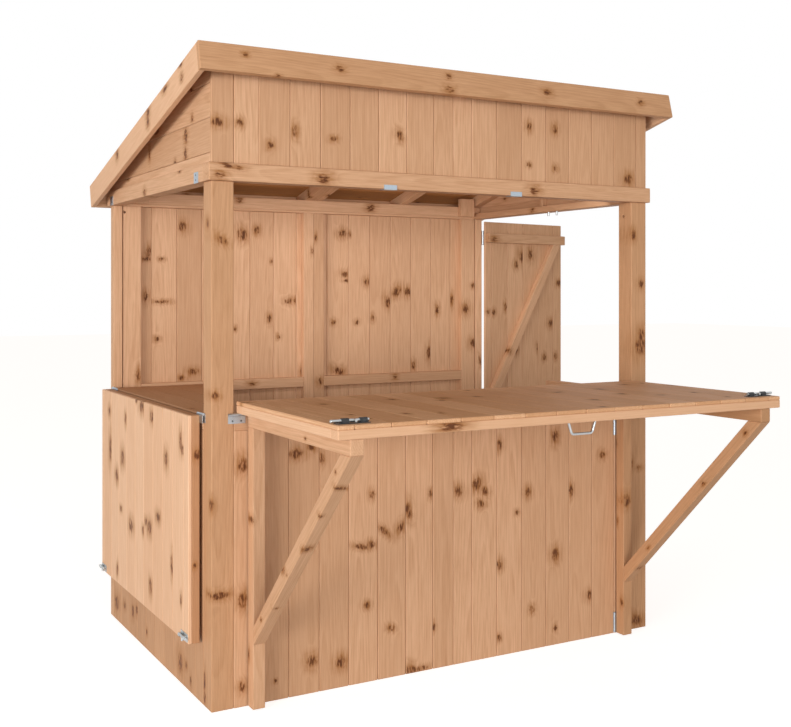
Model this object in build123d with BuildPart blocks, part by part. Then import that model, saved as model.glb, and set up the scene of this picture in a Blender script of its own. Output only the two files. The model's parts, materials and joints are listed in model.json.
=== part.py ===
from build123d import *
import os
from math import atan2, cos, radians, sin, tan

# Outdoor garden bar in matchboard. Millimetres. X runs along the front with 0 in its middle,
# Y runs into the depth with 0 on the centre line of the front wall's frame, Z is up from the ground.

# Walls
width = 1800
depth = 1200
board_t = 12
frame_t = 28
stud_w = 45
sill_z = 932
rail_h = 50
side_wall_length = 520
panel_gap = 1

# Posts and ring beam
front_post = 75
rear_post_w = 36
rear_post_d = 45
eave_z = 1674
beam_h = 57
beam_w = 58
beam_proud = 12
rear_beam_h = 48
ledge_rise = 28
gable_stud_w = 20

# Back wall frame
rear_stud_w = 76
rear_stud_gap = 3
centre_stud_w = 50
mid_rail_rise = 11
mid_rail_h = 44

# Blocks that hold the outer rafters to the rear beam
block_w = 76
block_t = 28
block_inset = 62
block_rise = 85

# Corner shelf
shelf_t = 18
shelf_front_w = 95
shelf_back_w = 445

# Roof
pitch = 14
fascia_h = 93
fascia_t = 20
front_overhang = 82
rear_overhang = 65
side_overhang = 65
rear_planing = 10.6
rafter_h = 45
rafter_w = 42
rafter_lift = 33
rafter_bay = 464
felt_t = 2
panel_head_h = 90

# Hatches
hatch_gap = 5
hatch_reach = 732
hatch_board_t = 12
hatch_frame_t = 26
hatch_rail_w = 45
pin_out = 5
pin_rise = 1
hatch_heel = 4
left_hatch_foot = 200

# Butt hinges
knuckle_r = 4
pin_r = 2
pin_play = 0.1
leaf_t = 2.5
leaf_reach = 28
leaf_web = 9
hatch_hinge_length = 58
hatch_hinge_lap = 20
bracket_hinge_length = 75
bracket_hinge_foot_gap = 3
bracket_hinge_head_gap = 37.5
door_hinge_length = 70

# Tower bolts
shoot_r = 4.5
shoot_play = 1
shoot_height = 8
shoot_out = 3
shoot_tail = 6
shoot_nose = 1
bolt_plate_w = 26
bolt_plate_t = 2
bolt_setback = 12
bolt_inset = 40
staple_setback = 16
staple_w = 22
small_bolt_setback = 4
left_bolt_inset = 18
small_staple_setback = 7
small_staple_w = 10
staple_gap = 33
staple_wall = 2
plate_tail = 7
knob_r = 4
knob_h = 14
keep_depth = 25

# Swing brackets
bracket_w = 42
bracket_x = 119
bracket_wall_gap = 10
arm_h = 45
arm_rest = 0.5
arm_setback = 7
leg_foot = 4
brace_foot_z = 208
brace_w = 42

# D handle
handle_span = 104
handle_drop = 36
handle_bend_r = 12
handle_r = 4
handle_inset = 22
handle_taper = 14

# Door
door_free_gap = 9
door_foot = 25
door_head_gap = 11
door_edge = 3
door_pin_out = 3
door_open = 100
ledge_h = 45
ledge_tops = (217, 790, 1607)
door_brace_w = 45
brace_heel = 44
brace_toe = 33
door_leaf_t = 2
door_leaf_reach = 30

# Fittings under the beams
plate_w = 50
plate_t = 2.5
plate_x = 263
plate_face_h = 14
side_plate_face_h = 34
side_plate_drop = 1.5
side_plate_gap = 13
rear_plate_gap = 1
side_plate_w = 37
plate_foot = 30
stub_r = 4.5
stub_drop = 18
stub_inset = 30
stub_ys = (528, 587)

# Derived places
half = width / 2
front = -(board_t + frame_t / 2)
back = front + depth
wall_t = board_t + frame_t
beam_top = eave_z + beam_h
mid_rail_top = sill_z + mid_rail_rise
rear_beam_z = beam_top - rear_beam_h
ledge_z = eave_z + ledge_rise
rail_z = sill_z - rail_h
side_start = front + front_post
side_end = back - rear_post_d
jamb = side_start + side_wall_length
beam_inner = half + beam_proud - beam_w
front_beam_back = front - beam_proud + beam_w
rear_beam_y = back + beam_proud - beam_w
pin_y = front - pin_out
pin_z = sill_z + pin_rise
side_pin_x = half + pin_out
hatch_z = pin_z + pin_out
hatch_half = half - front_post - hatch_gap
hatch_back = pin_y - hatch_heel
hatch_front = front - hatch_reach
left_hatch_top = pin_z - hatch_heel
left_hatch_ys = (side_start + hatch_gap, side_end - hatch_gap)
hatch_t = hatch_board_t + hatch_frame_t
hatch_top = hatch_z + hatch_t
bolt_y = hatch_front + bolt_inset
shoot_z = hatch_top + shoot_height
closed_shoot = (pin_y + shoot_z - pin_z, pin_z + pin_y - bolt_y)
left_face_x = -side_pin_x - pin_out - hatch_t
left_shoot_x = left_face_x - shoot_height
left_bolt_z = left_hatch_foot + left_bolt_inset
closed_left_shoot = (-2 * side_pin_x - left_shoot_x, 2 * pin_z - left_bolt_z)

slope = radians(pitch)
slope_length = (front_overhang + depth + rear_overhang) / cos(slope)
fascia_foot_z = (beam_top - rear_planing + (front_overhang + depth) * tan(slope)
                 - rafter_lift / cos(slope))
roof_frame = Plane(origin=(0, front - front_overhang, fascia_foot_z),
                   x_dir=(0, cos(slope), -sin(slope)), z_dir=(1, 0, 0))
deck_lift = rafter_lift + rafter_h
roof_half = half + side_overhang


def rect(u_min, u_max, v_min, v_max, mode=Mode.ADD):
    """A rectangle between two corners of the sketch it is drawn in."""
    with Locations(((u_min + u_max) / 2, (v_min + v_max) / 2)):
        Rectangle(u_max - u_min, v_max - v_min, mode=mode)


def facing(y):
    """Plane of a front or back wall whose outer face is at y; u is X and v is Z."""
    return Plane.XZ.offset(-y)


def siding(x):
    """Plane of a side wall at x; u is Y and v is Z."""
    return Plane.YZ.offset(x)


def roof_z(y, lift):
    """Height at depth y of the line that lies lift above the barge board's lower edge."""
    return fascia_foot_z + lift / cos(slope) - (y - front + front_overhang) * tan(slope)


def under_rafters():
    """The plane of the rafters' underside, its normal pointing up."""
    return Plane(origin=(0, 0, roof_z(0, rafter_lift)), z_dir=(0, sin(slope), cos(slope)))


def ladder(u_min, u_max, v_min, v_max, studs, rails):
    """A wall frame: its outline less the bays between its studs and rails."""
    rect(u_min, u_max, v_min, v_max)
    for (left, right) in zip(studs, studs[1:]):
        for (low, high) in zip(rails, rails[1:]):
            rect(left[1], right[0], low[1], high[0], Mode.SUBTRACT)


# Posts
with BuildPart() as front_posts:
    with BuildSketch(Plane.XY):
        rect(half - front_post, half, front, front + front_post)
    extrude(amount=eave_z)
    keep_face = Plane(origin=(half - front_post, closed_shoot[0], closed_shoot[1]), z_dir=(-1, 0, 0))
    with Locations(keep_face):
        Hole(shoot_r + shoot_play, depth=keep_depth)
    mirror(about=Plane.YZ)
    side_keep = Plane(origin=(closed_left_shoot[0], side_start, closed_left_shoot[1]), z_dir=(0, 1, 0))
    with Locations(side_keep):
        Hole(shoot_r + shoot_play, depth=keep_depth)

with BuildPart() as rear_posts:
    with BuildSketch(Plane.XY):
        rect(half - rear_post_w, half, side_end, back)
    extrude(amount=eave_z)
    mirror(about=Plane.YZ)

# Ring beam, planed to the roof's pitch where the rafters cross it
with BuildPart() as front_beam:
    with BuildSketch(siding(-half - beam_proud)):
        rect(front - beam_proud, front - beam_proud + beam_w, eave_z, beam_top)
    extrude(amount=width + 2 * beam_proud)

with BuildPart() as side_beams:
    with BuildSketch(facing(back + beam_proud)):
        rect(beam_inner, half + beam_proud, eave_z, beam_top)
    extrude(amount=depth + 2 * beam_proud - beam_w)
    with BuildSketch(facing(rear_beam_y)):
        rect(beam_inner, half - board_t, ledge_z, beam_top)
    extrude(amount=rear_beam_y - front_beam_back, mode=Mode.SUBTRACT)
    mirror(about=Plane.YZ)
    split(bisect_by=under_rafters(), keep=Keep.BOTTOM)

with BuildPart() as rear_beam:
    with BuildSketch(siding(-beam_inner)):
        rect(rear_beam_y, back + beam_proud, rear_beam_z, beam_top)
    extrude(amount=2 * beam_inner)
    split(bisect_by=under_rafters(), keep=Keep.BOTTOM)

with BuildPart() as corner_blocks:
    with BuildSketch(facing(rear_beam_y)):
        rect(half - block_inset - block_w, half - block_inset, rear_beam_z, rear_beam_z + block_rise)
    extrude(amount=block_t)
    mirror(about=Plane.YZ)

# Lower front wall: two boarded panels between the posts under the hinge rail
inner_half = half - front_post

with BuildPart() as front_wall_boards:
    with BuildSketch(facing(front)):
        rect(panel_gap / 2, inner_half, 0, rail_z)
    extrude(amount=-board_t)
    mirror(about=Plane.YZ)

with BuildPart() as front_wall_frame:
    with BuildSketch(facing(front + board_t)):
        edge = (inner_half - stud_w, inner_half)
        middle = (-centre_stud_w, centre_stud_w)
        ladder(-inner_half, inner_half, 0, rail_z,
               [(-edge[1], -edge[0]), middle, edge], [(0, stud_w), (rail_z - stud_w, rail_z)])
    extrude(amount=-frame_t)

with BuildPart() as front_wall_rail:
    with BuildSketch(facing(front)):
        rect(-inner_half, inner_half, rail_z, sill_z)
    extrude(amount=-wall_t)

# Lower side walls; the left one carries the shelf on its rail, the right one ends at the doorway
shelf_z = sill_z - shelf_t

with BuildPart() as left_wall_boards:
    with BuildSketch(siding(-half)):
        rect(side_start, side_end, 0, rail_z)
    extrude(amount=board_t)

with BuildPart() as left_wall_frame:
    with BuildSketch(siding(-half + board_t)):
        middle = (side_start + side_end) / 2
        ladder(side_start, side_end, 0, rail_z,
               [(side_start, side_start + stud_w), (middle - stud_w / 2, middle + stud_w / 2),
                (side_end - stud_w, side_end)], [(0, stud_w), (rail_z - stud_w, rail_z)])
    extrude(amount=frame_t)

with BuildPart() as left_wall_rail:
    with BuildSketch(siding(-half)):
        rect(side_start, side_end, rail_z, shelf_z)
    extrude(amount=wall_t)

with BuildPart() as corner_shelf:
    with BuildSketch(Plane.XY.offset(shelf_z)):
        with BuildLine():
            Polyline((-half, side_start), (-half + shelf_front_w, side_start),
                     (-half + shelf_back_w, side_end), (-half, side_end), close=True)
        make_face()
    extrude(amount=shelf_t)

with BuildPart() as right_wall_boards:
    with BuildSketch(siding(half - board_t)):
        rect(side_start, jamb, 0, rail_z)
    extrude(amount=board_t)

with BuildPart() as right_wall_frame:
    with BuildSketch(siding(half - wall_t)):
        ladder(side_start, jamb, 0, rail_z,
               [(side_start, side_start + stud_w), (jamb - stud_w, jamb)],
               [(0, stud_w), (rail_z - stud_w, rail_z)])
    extrude(amount=frame_t)

with BuildPart() as right_wall_rail:
    with BuildSketch(siding(half - wall_t)):
        rect(side_start, jamb, rail_z, sill_z)
    extrude(amount=wall_t)

# Back wall: two boarded panels that show their studs and middle rail inside
back_half = half - rear_post_w
back_head = rear_beam_z

with BuildPart() as back_wall_boards:
    with BuildSketch(facing(back)):
        rect(panel_gap / 2, back_half, 0, back_head)
        rect(beam_inner, back_half, eave_z, back_head, Mode.SUBTRACT)
    extrude(amount=board_t)
    mirror(about=Plane.YZ)

with BuildPart() as back_wall_frame:
    outer = back_half - rear_stud_gap
    with BuildSketch(facing(back - board_t)):
        ladder(panel_gap / 2, outer, 0, back_head,
               [(0, centre_stud_w), (outer - rear_stud_w, outer)],
               [(0, stud_w), (mid_rail_top - mid_rail_h, mid_rail_top), (back_head, back_head)])
        rect(beam_inner, outer, eave_z, back_head, Mode.SUBTRACT)
    extrude(amount=frame_t)
    mirror(about=Plane.YZ)
    rear_keep = Plane(origin=(closed_left_shoot[0], back - wall_t, closed_left_shoot[1]), z_dir=(0, -1, 0))
    with Locations(rear_keep):
        Hole(shoot_r + shoot_play, depth=frame_t)

# Boarded panel over the front beam, notched round the rafters
half_rafter_xs = ((panel_gap + rafter_w) / 2, rafter_bay, half - board_t - rafter_w / 2)
rafter_xs = [side * x for side in (-1, 1) for x in half_rafter_xs]
notch_z = roof_z(front + board_t, rafter_lift)
deck_z = roof_z(front, deck_lift)

with BuildPart() as front_panel_boards:
    with BuildSketch(facing(front)):
        rect(-half, half, beam_top, deck_z)
        for x in rafter_xs:
            rect(x - rafter_w / 2, x + rafter_w / 2, notch_z, deck_z, Mode.SUBTRACT)
        rect(-panel_gap / 2, panel_gap / 2, beam_top, deck_z, Mode.SUBTRACT)
    extrude(amount=-board_t)
    split(bisect_by=Plane(origin=(0, front, deck_z), z_dir=(0, sin(slope), cos(slope))), keep=Keep.BOTTOM)

with BuildPart() as front_panel_frame:
    with BuildSketch(facing(front + board_t)):
        reach = half - board_t
        ladder(-reach, reach, beam_top, notch_z,
               [(-reach, -reach + stud_w), (-centre_stud_w, centre_stud_w), (reach - stud_w, reach)],
               [(beam_top, beam_top + stud_w), (notch_z - panel_head_h, notch_z)])
    extrude(amount=-frame_t)
    split(bisect_by=under_rafters(), keep=Keep.BOTTOM)

# Gables: boards over the side beams up to the roof boards, with one stud inside each
gable_start = front + board_t
knee = front - front_overhang + (fascia_foot_z + rafter_lift / cos(slope) - beam_top) / tan(slope)

with BuildPart() as gable_boards:
    with BuildSketch(siding(half - board_t)):
        with BuildLine():
            Polyline((gable_start, beam_top), (knee, beam_top), (back, roof_z(back, rafter_lift)),
                     (back, roof_z(back, deck_lift)), (gable_start, roof_z(gable_start, deck_lift)),
                     close=True)
        make_face()
    extrude(amount=board_t)
    mirror(about=Plane.YZ)

with BuildPart() as gable_studs:
    with BuildSketch(siding(half - wall_t)):
        rect(jamb + stud_w - gable_stud_w, jamb + stud_w, ledge_z, deck_z)
    extrude(amount=frame_t)
    mirror(about=Plane.YZ)
    split(bisect_by=under_rafters(), keep=Keep.BOTTOM)

# Roof
with BuildPart() as rafters:
    for x in rafter_xs:
        with BuildSketch(roof_frame.offset(x - rafter_w / 2)):
            rect(fascia_t, slope_length - fascia_t, rafter_lift, deck_lift)
        extrude(amount=rafter_w)

with BuildPart() as roof_boards:
    with BuildSketch(roof_frame.offset(-roof_half + fascia_t)):
        rect(fascia_t, slope_length - fascia_t, deck_lift, deck_lift + board_t)
    extrude(amount=2 * (roof_half - fascia_t))

with BuildPart() as roof_felt:
    with BuildSketch(roof_frame.offset(-roof_half + fascia_t)):
        rect(fascia_t, slope_length - fascia_t, deck_lift + board_t, deck_lift + board_t + felt_t)
    extrude(amount=2 * (roof_half - fascia_t))

with BuildPart() as front_fascia:
    with BuildSketch(roof_frame.offset(-roof_half)):
        rect(0, fascia_t, 0, fascia_h)
    extrude(amount=2 * roof_half)

with BuildPart() as rear_fascia:
    with BuildSketch(roof_frame.offset(-roof_half + fascia_t)):
        rect(slope_length - fascia_t, slope_length, 0, fascia_h)
    extrude(amount=2 * (roof_half - fascia_t))

with BuildPart() as barge_boards:
    with BuildSketch(roof_frame.offset(roof_half - fascia_t)):
        rect(fascia_t, slope_length, 0, fascia_h)
    extrude(amount=fascia_t)
    mirror(about=Plane.YZ)

# Bright angle plates under the beams, and two short pins under the right beam
with BuildPart() as beam_plates:
    beam_front = front - beam_proud
    with BuildSketch(siding(plate_x - plate_w / 2)):
        rect(beam_front - plate_t, beam_front, eave_z - plate_t, eave_z + plate_face_h)
        rect(beam_front - plate_t, beam_front + plate_foot, eave_z - plate_t, eave_z)
    extrude(amount=plate_w)
    mirror(about=Plane.YZ)
    beam_left = -half - beam_proud
    for y in (side_start + side_plate_gap + side_plate_w, side_end - rear_plate_gap):
        with BuildSketch(facing(y)):
            rect(beam_left - plate_t, beam_left, eave_z - side_plate_drop, eave_z + side_plate_face_h)
        extrude(amount=side_plate_w)

with BuildPart() as beam_pins:
    with BuildSketch(Plane.XY.offset(eave_z)):
        with Locations(*[(half - stub_inset, front + y) for y in stub_ys]):
            Circle(stub_r)
    extrude(amount=-stub_drop)

# Butt hinge leaves, made once with the pin on local Z and the leaf along local X
knuckle = 1 / 5


def hinge_leaf(length, offset, thick, reach, fixed):
    """A leaf whose plate lies offset beside the pin; the fixed one has the pin and three knuckles."""
    shares = (-2, 0, 2) if fixed else (-1, 1)
    with BuildPart() as leaf:
        with BuildSketch(Plane.XY.offset(-length / 2)):
            rect(0, reach, offset, offset + thick)
        extrude(amount=length)
        with BuildSketch(Plane.XY.offset(-length / 2)):
            Circle(knuckle_r + pin_play)
        extrude(amount=length, mode=Mode.SUBTRACT)
        for share in shares:
            with BuildSketch(Plane.XY.offset((share - 0.5) * length * knuckle + pin_play)):
                Circle(knuckle_r)
                rect(0, leaf_web, offset, offset + thick)
                if not fixed:
                    Circle(pin_r + pin_play / 2, mode=Mode.SUBTRACT)
            extrude(amount=length * knuckle - 2 * pin_play)
        if fixed:
            with BuildSketch(Plane.XY.offset(-length / 2)):
                Circle(pin_r)
            extrude(amount=length)
    return leaf.part


def leaf_at(origin, along, pin):
    """Where a leaf goes: its pin's place, the way the leaf reaches and the pin's direction."""
    return Plane(origin=origin, x_dir=along, z_dir=pin).location


wall_offset = pin_out - leaf_t
hatch_fixed = hinge_leaf(hatch_hinge_length, wall_offset, leaf_t, leaf_reach, True)
hatch_moving = hinge_leaf(hatch_hinge_length, wall_offset, leaf_t, leaf_reach, False)
bracket_fixed = hinge_leaf(bracket_hinge_length, wall_offset, leaf_t, leaf_reach, True)
bracket_moving = hinge_leaf(bracket_hinge_length, wall_offset, leaf_t, leaf_reach, False)
door_offset = door_pin_out - door_leaf_t
door_fixed = hinge_leaf(door_hinge_length, door_offset, door_leaf_t, door_leaf_reach, True)
door_moving = hinge_leaf(door_hinge_length, door_offset, door_leaf_t, door_leaf_reach, False)

hinge_x = inner_half - hatch_hinge_length / 2 + hatch_hinge_lap
side_hinge_ys = (side_start + hatch_hinge_length / 2 - hatch_hinge_lap,
                 left_hatch_ys[1] - hatch_hinge_length / 2)
bracket_pin_x = half - bracket_x - bracket_w - pin_out
bracket_hinge_zs = (leg_foot + bracket_hinge_foot_gap + bracket_hinge_length / 2,
                    rail_z - bracket_hinge_head_gap - bracket_hinge_length / 2)
door_pin = (half + door_pin_out, side_end - door_edge)
door_hinge_zs = (ledge_tops[0] - ledge_h / 2, ledge_tops[2] - ledge_h / 2)

with BuildPart() as fixed_hinge_leaves:
    with Locations(leaf_at((-hinge_x, pin_y, pin_z), (0, 0, -1), (1, 0, 0)),
                   leaf_at((hinge_x, pin_y, pin_z), (0, 0, -1), (1, 0, 0)),
                   leaf_at((-side_pin_x, side_hinge_ys[0], pin_z), (0, 0, -1), (0, -1, 0)),
                   leaf_at((-side_pin_x, side_hinge_ys[1], pin_z), (0, 0, -1), (0, -1, 0))):
        add(hatch_fixed)
    with Locations(*[leaf_at((-bracket_pin_x, pin_y, z), (-1, 0, 0), (0, 0, -1)) for z in bracket_hinge_zs],
                   *[leaf_at((bracket_pin_x, pin_y, z), (1, 0, 0), (0, 0, 1)) for z in bracket_hinge_zs]):
        add(bracket_fixed)
    with Locations(*[leaf_at((door_pin[0], door_pin[1], z), (0, 1, 0), (0, 0, 1)) for z in door_hinge_zs]):
        add(door_fixed)

# Front hatch, the counter: boards on a frame with two cross rails
with BuildPart() as front_hatch_frame:
    with BuildSketch(Plane.XY.offset(hatch_z)):
        third = hatch_half / 3
        ladder(-hatch_half, hatch_half, hatch_front, hatch_back,
               [(-hatch_half, -hatch_half + hatch_rail_w), (-third - hatch_rail_w, -third),
                (third, third + hatch_rail_w), (hatch_half - hatch_rail_w, hatch_half)],
               [(hatch_front, hatch_front + hatch_rail_w), (hatch_back - hatch_rail_w, hatch_back)])
    extrude(amount=hatch_frame_t)

with BuildPart() as front_hatch_boards:
    with BuildSketch(Plane.XY.offset(hatch_z + hatch_frame_t)):
        rect(-hatch_half, hatch_half, hatch_front, hatch_back)
    extrude(amount=hatch_board_t)

with BuildPart() as front_hatch_hinge_leaves:
    with Locations(leaf_at((-hinge_x, pin_y, pin_z), (0, -1, 0), (-1, 0, 0)),
                   leaf_at((hinge_x, pin_y, pin_z), (0, -1, 0), (-1, 0, 0))):
        add(hatch_moving)

handle_y = hatch_front + handle_inset
handle_foot = handle_span / 2
handle_hand = handle_foot - handle_taper
handle_z = hatch_z - handle_drop

with BuildPart() as front_hatch_handle:
    with BuildLine() as handle_path:
        FilletPolyline((-handle_foot, handle_y, hatch_z + handle_r), (-handle_hand, handle_y, handle_z),
                       (handle_hand, handle_y, handle_z), (handle_foot, handle_y, hatch_z + handle_r),
                       radius=handle_bend_r)
    with BuildSketch(Plane(handle_path.line @ 0, z_dir=handle_path.line % 0)):
        Circle(handle_r)
    sweep()
    split(bisect_by=Plane.XY.offset(hatch_z), keep=Keep.BOTTOM)


def bolt_body(setback, staple):
    """A tower bolt without its shoot: base plate and two staples, along local X on local Z=0."""
    length = setback + 2 * staple + staple_gap + plate_tail
    with BuildPart() as body:
        with BuildSketch(Plane.XY):
            rect(0, length, -bolt_plate_w / 2, bolt_plate_w / 2)
        extrude(amount=bolt_plate_t)
        for start in (setback, setback + staple + staple_gap):
            with BuildSketch(Plane.YZ.offset(start)):
                rect(-staple_r, staple_r, bolt_plate_t, shoot_height)
                with Locations((0, shoot_height)):
                    Circle(staple_r)
                    Circle(shoot_r + pin_play / 2, mode=Mode.SUBTRACT)
            extrude(amount=staple)
        fillet(body.edges().filter_by(Axis.Z).group_by(Axis.X)[0], bolt_plate_t)
        fillet(body.edges().filter_by(Axis.Z).group_by(Axis.X)[-1], bolt_plate_t)
    return body.part


def shoot(edge_gap, setback, staple, side):
    """The sliding rod from its tip at local X=0, its knob between the staples and lying to one side."""
    first_staple = shoot_out + edge_gap + setback
    with BuildPart() as rod:
        with BuildSketch(Plane.YZ):
            Circle(shoot_r)
        extrude(amount=first_staple + 2 * staple + staple_gap + shoot_tail)
        with BuildSketch(Plane.XZ):
            with Locations((first_staple + staple + staple_gap / 2, 0)):
                Circle(knob_r)
        extrude(amount=-side * knob_h)
        chamfer(rod.faces().sort_by(Axis.X)[0].edges(), shoot_nose)
    return rod.part


staple_r = shoot_r + pin_play / 2 + staple_wall
body_solid = bolt_body(staple_setback, staple_w)
small_body = bolt_body(small_staple_setback, small_staple_w)
left_bolt_at = Plane(origin=(-hatch_half + bolt_setback, bolt_y, hatch_top), x_dir=(1, 0, 0), z_dir=(0, 0, 1))
left_shoot_at = Plane(origin=(-hatch_half - shoot_out, bolt_y, shoot_z), x_dir=(1, 0, 0), z_dir=(0, 0, 1))
right_bolt_at = Plane(origin=(hatch_half - bolt_setback, bolt_y, hatch_top), x_dir=(-1, 0, 0), z_dir=(0, 0, 1))
right_shoot_at = Plane(origin=(hatch_half + shoot_out, bolt_y, shoot_z), x_dir=(-1, 0, 0), z_dir=(0, 0, 1))

with BuildPart() as front_bolt_bodies:
    with Locations(left_bolt_at.location, right_bolt_at.location):
        add(body_solid)

with BuildPart() as front_left_shoot:
    with Locations(left_shoot_at.location):
        add(shoot(bolt_setback, staple_setback, staple_w, -1))

with BuildPart() as front_right_shoot:
    with Locations(right_shoot_at.location):
        add(shoot(bolt_setback, staple_setback, staple_w, 1))

# Left hatch, hanging: boards outside on a frame with one cross rail
with BuildPart() as left_hatch_boards:
    with BuildSketch(siding(left_face_x)):
        rect(left_hatch_ys[0], left_hatch_ys[1], left_hatch_foot, left_hatch_top)
    extrude(amount=hatch_board_t)

with BuildPart() as left_hatch_frame:
    with BuildSketch(siding(left_face_x + hatch_board_t)):
        middle = (left_hatch_ys[0] + left_hatch_ys[1]) / 2
        ladder(left_hatch_ys[0], left_hatch_ys[1], left_hatch_foot, left_hatch_top,
               [(left_hatch_ys[0], left_hatch_ys[0] + hatch_rail_w),
                (middle - hatch_rail_w / 2, middle + hatch_rail_w / 2),
                (left_hatch_ys[1] - hatch_rail_w, left_hatch_ys[1])],
               [(left_hatch_foot, left_hatch_foot + hatch_rail_w),
                (left_hatch_top - hatch_rail_w, left_hatch_top)])
    extrude(amount=hatch_frame_t)

with BuildPart() as left_hatch_hinge_leaves:
    with Locations(leaf_at((-side_pin_x, side_hinge_ys[0], pin_z), (0, 0, -1), (0, 1, 0)),
                   leaf_at((-side_pin_x, side_hinge_ys[1], pin_z), (0, 0, -1), (0, 1, 0))):
        add(hatch_moving)

near_bolt_at = Plane(origin=(left_face_x, left_hatch_ys[0] + small_bolt_setback, left_bolt_z),
                     x_dir=(0, 1, 0), z_dir=(-1, 0, 0))
far_bolt_at = Plane(origin=(left_face_x, left_hatch_ys[1] - small_bolt_setback, left_bolt_z),
                    x_dir=(0, -1, 0), z_dir=(-1, 0, 0))
near_shoot_at = Plane(origin=(left_shoot_x, left_hatch_ys[0] - shoot_out, left_bolt_z),
                      x_dir=(0, 1, 0), z_dir=(-1, 0, 0))
far_shoot_at = Plane(origin=(left_shoot_x, left_hatch_ys[1] + shoot_out, left_bolt_z),
                     x_dir=(0, -1, 0), z_dir=(-1, 0, 0))

with BuildPart() as left_hatch_bolt_bodies:
    with Locations(near_bolt_at.location, far_bolt_at.location):
        add(small_body)

with BuildPart() as left_hatch_front_shoot:
    with Locations(near_shoot_at.location):
        add(shoot(small_bolt_setback, small_staple_setback, small_staple_w, 1))

with BuildPart() as left_hatch_rear_shoot:
    with Locations(far_shoot_at.location):
        add(shoot(small_bolt_setback, small_staple_setback, small_staple_w, -1))

# Swing brackets under the counter: leg, arm and diagonal brace
bracket_back = front - bracket_wall_gap
leg_front = bracket_back - bracket_w
arm_front = hatch_front + arm_setback
arm_top = hatch_z - arm_rest
arm_z = arm_top - arm_h
brace_angle = atan2(arm_z - brace_foot_z, leg_front - arm_front)
brace_rise = brace_w / cos(brace_angle)
brace_run = brace_w / sin(brace_angle)
bracket_left = -half + bracket_x


def bracket_leg():
    with BuildPart() as leg:
        with BuildSketch(Plane.XY.offset(leg_foot)):
            rect(bracket_left, bracket_left + bracket_w, leg_front, bracket_back)
        extrude(amount=arm_z - leg_foot)
    return leg


def bracket_arm():
    with BuildPart() as arm:
        with BuildSketch(siding(bracket_left)):
            rect(arm_front, bracket_back, arm_z, arm_top)
        extrude(amount=bracket_w)
    return arm


def bracket_brace():
    with BuildPart() as brace:
        with BuildSketch(siding(bracket_left)):
            with BuildLine():
                Polyline((leg_front, brace_foot_z), (arm_front, arm_z), (arm_front + brace_run, arm_z),
                         (leg_front, brace_foot_z + brace_rise), close=True)
            make_face()
        extrude(amount=bracket_w)
    return brace


left_bracket_leg = bracket_leg()
left_bracket_arm = bracket_arm()
left_bracket_brace = bracket_brace()

with BuildPart() as right_bracket_leg:
    add(mirror(left_bracket_leg.part, about=Plane.YZ, mode=Mode.PRIVATE))

with BuildPart() as right_bracket_arm:
    add(mirror(left_bracket_arm.part, about=Plane.YZ, mode=Mode.PRIVATE))

with BuildPart() as right_bracket_brace:
    add(mirror(left_bracket_brace.part, about=Plane.YZ, mode=Mode.PRIVATE))

with BuildPart() as left_bracket_hinge_leaves:
    with Locations(*[leaf_at((-bracket_pin_x, pin_y, z), (-1, 0, 0), (0, 0, 1)) for z in bracket_hinge_zs]):
        add(bracket_moving)

with BuildPart() as right_bracket_hinge_leaves:
    with Locations(*[leaf_at((bracket_pin_x, pin_y, z), (1, 0, 0), (0, 0, -1)) for z in bracket_hinge_zs]):
        add(bracket_moving)

# Door, standing open: u runs from the hinge pin to the free edge, the plane faces the inner side
swing = radians(door_open - 90)
door_frame = Plane(origin=(door_pin[0], door_pin[1], 0), x_dir=(cos(swing), sin(swing), 0),
                   z_dir=(sin(swing), -cos(swing), 0))
door_head = eave_z - door_head_gap
door_width = side_end - jamb - 2 * door_edge - door_free_gap
door_free = door_edge + door_width
door_boards_at = door_frame.offset(door_pin_out)
door_ledges_at = door_frame.offset(door_pin_out + board_t)

with BuildPart() as door_boards:
    with BuildSketch(door_boards_at):
        rect(door_edge, door_free, door_foot, door_head)
    extrude(amount=board_t)

with BuildPart() as door_ledges:
    with BuildSketch(door_ledges_at):
        for top in ledge_tops:
            rect(door_edge, door_free, top - ledge_h, top)
    extrude(amount=frame_t)

with BuildPart() as door_braces:
    with BuildSketch(door_ledges_at):
        for (low, top) in zip(ledge_tops, ledge_tops[1:]):
            high = top - ledge_h
            toe = door_free - brace_toe
            run = toe - brace_heel - door_edge
            grade = (high - low) / run
            head = door_brace_w / sin(atan2(high - low, run))
            with BuildLine():
                Polyline((door_edge, low), (door_edge + brace_heel, low), (toe, high), (toe - head, high),
                         (door_edge, high - grade * (toe - head - door_edge)), close=True)
            make_face()
    extrude(amount=frame_t)

with BuildPart() as door_hinge_leaves:
    outward = (cos(swing), sin(swing), 0)
    with Locations(*[leaf_at((door_pin[0], door_pin[1], z), outward, (0, 0, -1)) for z in door_hinge_zs]):
        add(door_moving)

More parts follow.
